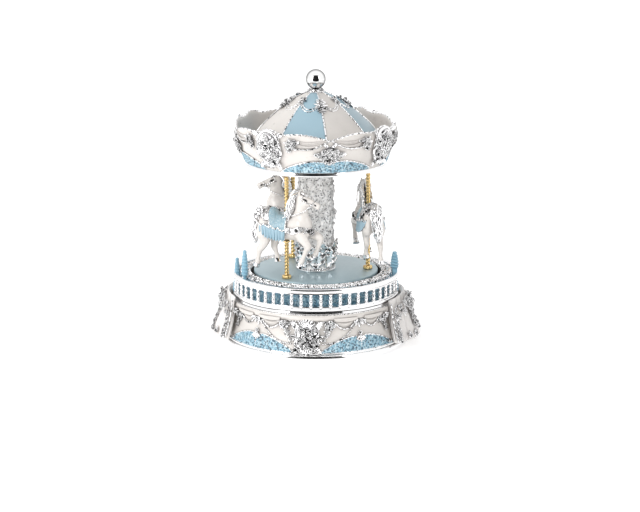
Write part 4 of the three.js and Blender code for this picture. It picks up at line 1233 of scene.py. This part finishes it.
def horse_body():
    """The horse's own body, joined smooth."""
    a = circle(22)
    parts = [skin([np.stack([np.full(len(a), x), w * np.cos(a), z + h * np.sin(a)], 1)
                   for x, z, w, h in curved(TORSO, 40)])]
    parts.append(stations([(8.0, 0, 39, 5.0, 8.0), (10.4, 0, 45, 4.3, 6.3), (11.8, 0, 50.0, 3.6, 5.2),
                           (11.6, 0, 54.6, 3.1, 4.6), (11.0, 0, 58.4, 2.8, 4.1),
                           (10.6, 0, 61.8, 2.0, 2.6)], 22))
    head = [(-0.02, 1.9, 2.4, 0.0), (0.12, 2.75, 4.0, -0.7), (0.3, 2.95, 4.35, -1.2),
            (0.48, 2.5, 3.5, -0.9), (0.66, 1.95, 2.6, -0.3), (0.82, 1.75, 2.3, -0.2),
            (0.94, 1.75, 2.3, -0.4), (1.02, 1.1, 1.4, -0.6)]
    parts.append(stations([(*head_point(share, drop), w, h) for share, w, h, drop in head], 26))
    for y in (-1, 1):
        parts.append(blob((14.4, y * 1.9, 57.0), (3.1, 1.5, 3.2), 15))  # cheek
        parts.append(blob((15.9, y * 1.75, 60.0), (1.7, 0.9, 0.8), 20))  # brow
        parts.append(blob((24.0, y * 1.2, 56.0), (1.3, 0.8, 0.9), 20))  # nostril's edge
        parts.append(blob((12.0, y * 4.4, 37.5), (5.0, 2.6, 7.6), -12))  # shoulder
        parts.append(blob((-14.8, y * 4.3, 38.0), (5.8, 3.4, 7.6), 8))  # haunch
        parts.append(blob((16.2, y * 2.2, 36.6), (3.6, 2.7, 4.8), -10))  # breast
        ear = [(10.9, y * 1.7, 61.6, 0.9, 0.95), (11.0, y * 2.0, 63.4, 1.0, 0.9),
               (11.5, y * 2.05, 65.0, 0.6, 0.5), (12.0, y * 1.9, 66.0, 0.2, 0.2)]
        parts.append(stations(ear, 8, 8))
    parts.append(blob((24.2, 0, 53.1), (1.7, 1.3, 0.9), 20))  # lower lip
    for leg in LEGS:
        stout = np.array(leg)
        stout[1:, 3:] *= 1.28
        stout[3:, 3:] *= 1.12
        parts.append(stations(stout, 34, 12))
    return fused(parts, 0.5, 7)


def fused(parts, cell, passes):
    """Overlapping closed forms joined into one smooth skin."""
    form = merged(parts)
    mesh = bpy.data.meshes.new("fusing")
    mesh.from_pydata(form.points.tolist(), [], form.quads.tolist() + form.tris.tolist())
    body = bpy.data.objects.new("fusing", mesh)
    bpy.context.scene.collection.objects.link(body)
    remesh = body.modifiers.new("remesh", "REMESH")
    remesh.mode = "VOXEL"
    remesh.voxel_size = cell
    smooth = body.modifiers.new("smooth", "SMOOTH")
    smooth.factor = 0.5
    smooth.iterations = passes
    result = body.evaluated_get(bpy.context.evaluated_depsgraph_get()).to_mesh()
    points = np.zeros(len(result.vertices) * 3, np.float32)
    result.vertices.foreach_get("co", points)
    quads = [tuple(p.vertices) for p in result.polygons if len(p.vertices) == 4]
    tris = [tuple(p.vertices) for p in result.polygons if len(p.vertices) == 3]
    body.to_mesh_clear()
    bpy.data.objects.remove(body)
    bpy.data.meshes.remove(mesh)
    return Form(points.reshape(-1, 3), quads or None, tris or None)


def lock(start, swing, end, thick, wave, curl=0.0):
    """A strand of hair that swells, waves and thins to a curled tip."""
    t = np.linspace(0, 1, 16)
    path = curved([start, swing, end], len(t))
    across = unit(np.cross(np.array(end, float) - start, LEFT))
    path = path + np.outer(np.sin(t * np.pi * 3.2) * wave * t, across)
    path[:, 0] += curl * np.maximum(t - 0.7, 0) ** 2 * 30
    swell = 0.35 + 0.9 * np.sin(np.pi * np.minimum(t * 0.95 + 0.12, 1)) ** 0.8
    return tube(path, thick * swell, 7, flat=0.75)


def curls(line, spread, count, thick, turns, rng):
    """Strands that wind round a line inside the given spread, and taper to its end."""
    t = np.linspace(0, 1, 34)
    path = curved(line, len(t))
    reach = np.interp(t, np.linspace(0, 1, len(spread)), spread)
    along = np.gradient(path, axis=0)
    along /= np.linalg.norm(along, axis=1, keepdims=True)
    up = np.cross(along, LEFT)
    made = []
    for i in range(count):
        angle = 2 * np.pi * (i / count + turns * t) + 0.5 * np.sin(9 * t + 5 * i)
        out = reach * (1.0 if i % 2 else 0.72) * (1 + 0.12 * np.sin(15 * t + 2 * i))
        strand = path + np.outer(out * np.cos(angle), LEFT) + up * (out * np.sin(angle))[:, None]
        width = thick * (0.8 + 0.4 * rng.random()) * np.sin(np.pi * np.clip(t * 0.9 + 0.09, 0, 1)) ** 0.6
        made.append(tube(strand, np.maximum(width, 0.16), 7))
    return made


def horse_hair():
    """The mane, the forelock, and the tail with its knot."""
    hair = np.random.default_rng(11)
    parts = []
    crest = curved([(9.4, 0, 63.2), (6.8, 0, 59.4), (5.8, 0, 54.4), (4.2, 0, 49.4), (1.8, 0, 46.0)], 15)
    parts.append(tube(crest, np.linspace(1.5, 2.4, 15), 10))
    for i, (x, _, z) in enumerate(crest):
        for side in (-1, 1):
            for layer in (0, 1):
                drop = 7.0 + 3.5 * hair.random() + 2 * layer
                start = (x + 1.2 - layer, side * 0.6, z + 0.6)
                swing = (x - 2.2 - layer * 1.6, side * (2.8 + hair.random()), z - drop * 0.35)
                end = (x - 1.2 - 2.2 * layer - 1.4 * hair.random(), side * (3.4 + 1.4 * hair.random()),
                       z - drop)
                parts.append(lock(start, swing, end, 0.95, 1.2, curl=-0.4))
        if i < 10:
            end = (x - 4.4 - 1.2 * hair.random(), hair.random() - 0.5, z - 1.5)
            parts.append(lock((x, 0, z + 1), (x - 3.2, 0, z + 1.4), end, 1.0, 0.5))
    for k, y in enumerate((-1.0, 0.0, 1.0)):  # forelock
        parts.append(lock((10.4, y * 0.6, 63.4), (14.0, y * 1.4, 63.4 - 0.4 * k), (16.8, y * 1.9, 60.6),
                          0.9, 0.4))
    tail = [(-17.4, 0, 43.6), (-19.6, 0, 48.0), (-22.2, 0, 46.0), (-23.6, -0.6, 39.5), (-24.4, -1.0, 31.5),
            (-24.0, -1.4, 24.4)]
    core = np.interp(np.linspace(0, 1, 30), [0, 0.35, 0.8, 1], [1.6, 2.8, 1.8, 0.4])
    parts.append(tube(curved(tail, len(core)), core, 10))
    parts.extend(curls(tail, [1.6, 2.9, 3.5, 3.2, 2.8, 0.7], 14, 1.15, 1.1, hair))
    parts.extend(curls(tail, [1.2, 2.4, 3.9, 3.7, 3.1, 1.4], 8, 0.9, -0.9, hair))
    for x, z, size in ((-16.0, 44.6, 2.4), (-17.6, 41.6, 2.0)):  # knot of the crupper
        for side in (-1, 1):
            outwards = ((-side, 0, 0), (0, 0, 1), (0, side, 0))
            parts.append(SMALL_ROSE.at([x, side * 3.6, z], *outwards, size))
    return parts


def saddle_forms():
    """The saddle with its high rear, the pleated skirt under it, and their edging."""
    a = np.radians(np.linspace(-96, 96, 50))[None, :]

    def seat(x, lift, a=a):
        high = (3.6 * np.sin(np.pi * np.clip((x + 14.6) / 8.4, 0, 1)) ** 1.1
                + 1.4 * np.exp(-(((x - 1.2) / 1.4) ** 2)))
        wide = (torso(x, 2) + lift + 0.12 * high) * np.sin(a)
        top = torso(x, 1) + (torso(x, 3) + lift) * np.cos(a) + high * np.cos(a * 0.62) ** 2
        return np.stack([x + 0 * a, wide + 0 * x, top], -1)

    def spanned(first, last, count):
        return first + (last - first) * np.linspace(0, 1, count)[:, None]

    rear = -12.2 + 2.6 * np.abs(np.sin(a)) ** 4
    saddle = [shell(seat(spanned(rear, 2.4 + 0 * a, 30), 1.0), 0.9)]
    arch = a * 0.72
    front = -11.7 + 2.6 * np.abs(np.sin(arch)) ** 4
    skirts, trims = [], [shell(seat(spanned(-14.6 + 0 * a, front, 9), 1.3, arch), 1.1)]
    for side in (-1, 1):
        u = np.linspace(0, 1, 120)[:, None]
        v = np.linspace(0, 1, 14)[None, :]
        xs = -19.2 + 21.2 * u + 1.4 * v * (1 - u)
        wave = np.sin(u * np.pi * 2 * 9 + 0.5 * np.sin(u * 40))
        y = side * (torso(xs, 2) + 0.9 + (0.15 + 1.1 * v) * (0.5 + 0.5 * wave) + 0.3 * v)
        low = 29.2 + 8.6 * np.exp(-(xs + 19.2) / 4.8)
        high = np.interp(xs, [-19.2, -13.5, 1.0], [39.9, 39.9, 37.0])
        z = high - (high - low + 0.6 * wave) * v
        skirts.append(shell(np.stack([xs, y, z], -1), 0.55))
        trims.append(tube(np.stack([xs[:, -1], y[:, -1], z[:, -1]], 1), 0.3, 6))
        seam = np.linspace(0, 1, 80)
        sx = -19.4 + 21.8 * seam
        sz = np.interp(sx, [-19.4, -13.5, 1.0], [40.3, 40.4, 37.4]) - 1.3 * np.abs(np.sin(seam * np.pi * 4))
        trims.append(rope(np.stack([sx, side * (torso(sx, 2) * 0.99 + 1.6), sz], 1), 0.7, 2.2))
    crest = seat(rear, 1.3)[0]
    pommel = seat(np.array([[2.4]]), 1.2)[0]
    trims.extend([rope(crest, 0.7, 2.2), rope(pommel, 0.6, 2.2)])
    for spot, size in ((25, 2.2), (20, 1.8), (30, 1.8), (15, 1.5), (35, 1.5)):
        axes = facing(np.array([-0.5, crest[spot][1] * 0.2, 1.0]), LEFT)
        trims.append(SMALL_ROSE.at(crest[spot] - [1.3, 0, 0.4], *axes, size))
    return saddle, skirts, trims


def near_body(x, angle, lift):
    """A point over the trunk, at an angle down from its top."""
    a = math.radians(angle)
    return (x, (torso(x, 2) + lift) * math.sin(a), torso(x, 1) + (torso(x, 3) + lift) * math.cos(a))


def hoof_forms(ankle, foot):
    """A hoof that points on from the ankle, and the feathers over it."""
    line = np.array(foot) - np.array(ankle)
    line[2] = min(line[2], -1.4)
    right, front, up = facing(-line, -LEFT)
    hoof = spun([(2.0, -1.6), (2.5, -1.9), (2.55, -1.3), (2.05, 0.5), (2.1, 0.9), (1.8, 1.2)], 18)
    parts = [facing_out(hoof.at(foot, right, front, up))]
    for angle in circle(7):
        away = right * math.cos(angle) + front * math.sin(angle)
        side, along = np.cross(up, away), away * 0.35 - up * 0.9
        parts.append(LEAF.at(foot + up * 2.3 + away * 1.5, side, along, np.cross(side, along), 2.6))
    return parts


def harness():
    """The chest strap with its roses, the crupper, the bridle and the hooves."""
    parts, gems, straps = [], [], []
    for side in (-1, 1):
        strap = curved([near_body(2.0, side * 92, 0.9), near_body(8, side * 102, 1.0),
                        near_body(13, side * 100, 1.1), (18.0, side * 3.6, 36.4), (20.1, 0, 35.8)], 36)
        strap = strap + [0, 0, 0.9]
        parts.append(rope(strap + [0, 0, 1.3], 0.6, 2.4))
        parts.append(rope(strap - [0, 0, 2.1], 0.6, 2.4))
        band = np.stack([strap + [0, 0, 1.2], strap - [0, 0, 0.4], strap - [0, 0, 2.0]], 1)
        straps.append(shell(band if side > 0 else band[:, ::-1], 0.8))
        for spot, size in ((5, 1.7), (19, 1.8), (24, 1.7), (31, 1.8)):
            axes = facing((strap[spot] - [2.0, 0, 36]) * [0.45, 1, 0.3], (0, 0, 1.0))
            out = axes[2]
            middle = strap[spot] + out * 0.5 - [0, 0, 0.4]
            parts.append(SMALL_ROSE.at(middle, *axes, size))
            parts.append(leaves_round(4, 0.5, 2.3, phase=45).at(middle - out * 0.2, *axes))
        for spot, forward in ((14, 0.25), (28, 0.5)):
            gems.append(ball(1.35, 12, 7).at(strap[spot] + [forward, side * 0.5, -0.4]))
        crupper = [near_body(-14.6, side * 46, 0.8), near_body(-17.4, side * 58, 0.6),
                   (-20.6, side * 1.6, 43.6)]
        parts.append(rope(curved(crupper, 16), 0.5, 2.0))
    forward = ((0, 1, 0), (0, 0, 1), (1, 0, 0))
    parts.append(SMALL_ROSE.at([20.4, 0, 35.6], *forward, 2.3))
    parts.append(leaves_round(7, 0.8, 3.2).at([19.8, 0, 35.6], *forward))
    across = np.cross(unit(HEAD_TO - HEAD_FROM), LEFT)
    t = np.linspace(0, 2 * np.pi, 40)
    for share, wide, high, drop in ((0.73, 2.15, 2.75, -0.25), (0.2, 3.15, 4.3, -0.9)):
        ring = head_point(share, drop) + np.outer(wide * np.cos(t), LEFT) + np.outer(high * np.sin(t), across)
        parts.append(rope(ring, 0.36, 1.5, looped=True))
    for side in (-1, 1):
        cheek = [(20.3, side * 2.2, 55.6), (17.4, side * 2.9, 56.8), (13.4, side * 3.3, 58.4)]
        rein = [(20.0, side * 2.4, 55.0), (15.5, side * 4.2, 50.8), (8.6, side * 5.8, 48.0),
                (2.4, side * 4.6, 45.6)]
        parts.append(rope(curved(cheek, 14), 0.42, 1.5))
        parts.append(ball(0.8, 10, 6).at([20.3, side * 2.3, 55.7]))
        parts.append(rope(curved(rein, 30), 0.42, 1.8))
        gems.append(blob((15.8, side * 2.72, 58.9), (1.9, 0.6, 0.85), 24))  # eye
        gems.append(blob((23.3, side * 1.75, 55.6), (1.0, 0.45, 0.65), 30))  # nostril
    for leg in LEGS:
        parts.extend(hoof_forms(leg[-2][:3], leg[-1][:3]))
    return parts, straps, gems


def build_horses():
    """The same horse on each of its poles."""
    hair, (saddle, skirts, trims), (tack, straps, gems) = horse_hair(), saddle_forms(), harness()
    castings = [(name, merged(forms), finish) for name, forms, finish in (
        ("_body", [horse_body()], PEARL), ("_mane_and_tail", hair, HAIR), ("_tack", trims + tack, SILVER),
        ("_strap", straps, POLISHED), ("_saddle", saddle, WOVEN), ("_skirt", skirts, SKY),
        ("_eyes_and_gems", gems, BLACK))]
    for k, (bearing, yaw) in enumerate(STANDS):
        a = math.radians(bearing + yaw)
        place = polar(bearing, POLE_RING, TURNTABLE_TOP)
        axes = [(math.cos(a), math.sin(a), 0), (-math.sin(a), math.cos(a), 0), (0, 0, 1)]
        node = f"horse_{k + 1}"
        for name, form, finish in castings:
            stands_for = [node] if name == "_body" else []
            make(node + name, form.at(place, *axes), finish, "carousel", *stands_for)


# ---------------------------------------------------------------- finishes on the CAD parts that stay
KEPT = {
    BRASS: ("spindle_bush", "spring_barrel", "barrel_cover", "winding_key", "pinned_cylinder", "comb_block",
            "governor_wheel"),
    STEEL: ("movement_bedplate", "mainspring", "winding_arbor", "cylinder_arbor", "governor_bracket",
            "cylinder_bracket", "tone_comb", "comb_screw_1", "comb_screw_2", "bottom_screw_1",
            "bottom_screw_2", "bottom_screw_3", "spindle_rod"),
    FELT: ("bottom_plate",),
    PEARL: ("governor_fly",),
}


def dress_cad():
    """Finishes on the CAD's own pieces, and rounded feet."""
    for finish, names in KEPT.items():
        for name in names:
            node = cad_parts[name]
            node.data.materials.clear()
            node.data.materials.append(finish)
    foot = spun([(3.2, 0.5), (3.6, 0.12), (4.3, 0), (4.8, 0.2), (5, 0.7), (4.9, 1.7), (4.6, 2.1)], 40)
    feet_distance = 53.0
    feet = [foot.at(polar(45 + 90 * k, feet_distance, 0)) for k in range(4)]
    make("rubber_feet", feet, RUBBER_AND_GAP_SHADOW, "base", *(f"rubber_foot_{k + 1}" for k in range(4)))


# ---------------------------------------------------------------- camera and studio
def aimed(made, place, target):
    """Adds a camera or a light to the scene, looking from place at target."""
    bpy.context.scene.collection.objects.link(made)
    made.location = place
    made.rotation_mode = "QUATERNION"
    made.rotation_quaternion = (Vector(target) - made.location).to_track_quat("-Z", "Y")


def card(name, corners, finish):
    """A flat sheet in the studio."""
    mesh = bpy.data.meshes.new(name)
    mesh.from_pydata(corners, [], [(0, 1, 2, 3)])
    mesh.materials.append(finish)
    made = bpy.data.objects.new(name, mesh)
    bpy.context.scene.collection.objects.link(made)
    return made


def build_studio():
    """Camera, light and cards, in metres."""
    camera = bpy.data.objects.new("camera", bpy.data.cameras.new("camera"))
    aimed(camera, (0, -1.650, 0.452), (0.003, 0, 0.062))
    camera.data.lens = 131.5
    camera.data.sensor_width = 36
    bpy.context.scene.camera = camera

    world = bpy.data.worlds.new("studio")
    bpy.context.scene.world = world
    world.use_nodes = True
    background = world.node_tree.nodes["Background"]
    background.inputs["Color"].default_value = (1, 1, 1, 1)
    background.inputs["Strength"].default_value = 1.06

    paper = Finish("pale_paper")
    paper.shader.inputs["Emission Color"].default_value = (1, 1, 1, 1)
    paper.shader.inputs["Emission Strength"].default_value = 0.36
    cloudy = paper.spread(paper.noise(6), 0.0, 0.04)
    sheet = paper.done(paper.mix(cloudy, (0.93, 0.93, 0.93, 1), (0.88, 0.88, 0.88, 1)), 0.9)
    card("floor", [(-8, -8, 0), (8, -8, 0), (8, 8, 0), (-8, 8, 0)], sheet)
    dark = Finish("dark_card").done((0.003, 0.003, 0.003, 1), 1.0)
    # what the plated metal mirrors: the dark room behind the camera
    mirrored = card("room_card", [(-0.32, -0.45, 0.01), (0.32, -0.45, 0.01), (0.32, -0.45, 0.76),
                                  (-0.32, -0.45, 0.76)], dark)
    # what shades the right-hand side and the top of the part
    flags = [card("side_flag", [(0.95, -1.2, 0.0), (0.95, 0.5, 0.0), (0.95, 0.5, 1.0), (0.95, -1.2, 1.0)],
                  dark),
             card("top_flag", [(-0.4, -0.5, 1.3), (0.9, -0.5, 1.3), (0.9, 0.4, 1.3), (-0.4, 0.4, 1.3)],
                  dark)]
    for made in (mirrored, *flags):
        made.visible_camera = made.visible_shadow = False
        made.visible_transmission = made.visible_volume_scatter = False
    mirrored.visible_diffuse = False
    for made in flags:
        made.visible_glossy = False

    for name, place, size, power in (("key_light", (-0.8, -0.9, 0.6), 0.7, 6.5),
                                     ("fill_light", (0.75, -1.05, 0.7), 0.6, 3.2)):
        light = bpy.data.objects.new(name, bpy.data.lights.new(name, "AREA"))
        aimed(light, place, (0, 0, 0.08))
        light.data.size = size
        light.data.energy = power
    view = bpy.context.scene.view_settings
    view.view_transform = "Standard"
    view.look = "None"
    view.exposure = 0.0


build_base()
for buttress_name, turn in (("left_buttress", FRONT - 90), ("right_buttress", FRONT + 90)):
    build_buttress(buttress_name, turn)
build_drum()
build_trees()
build_turntable()
build_poles()
build_crown()
build_roof()
build_horses()
dress_cad()
build_studio()
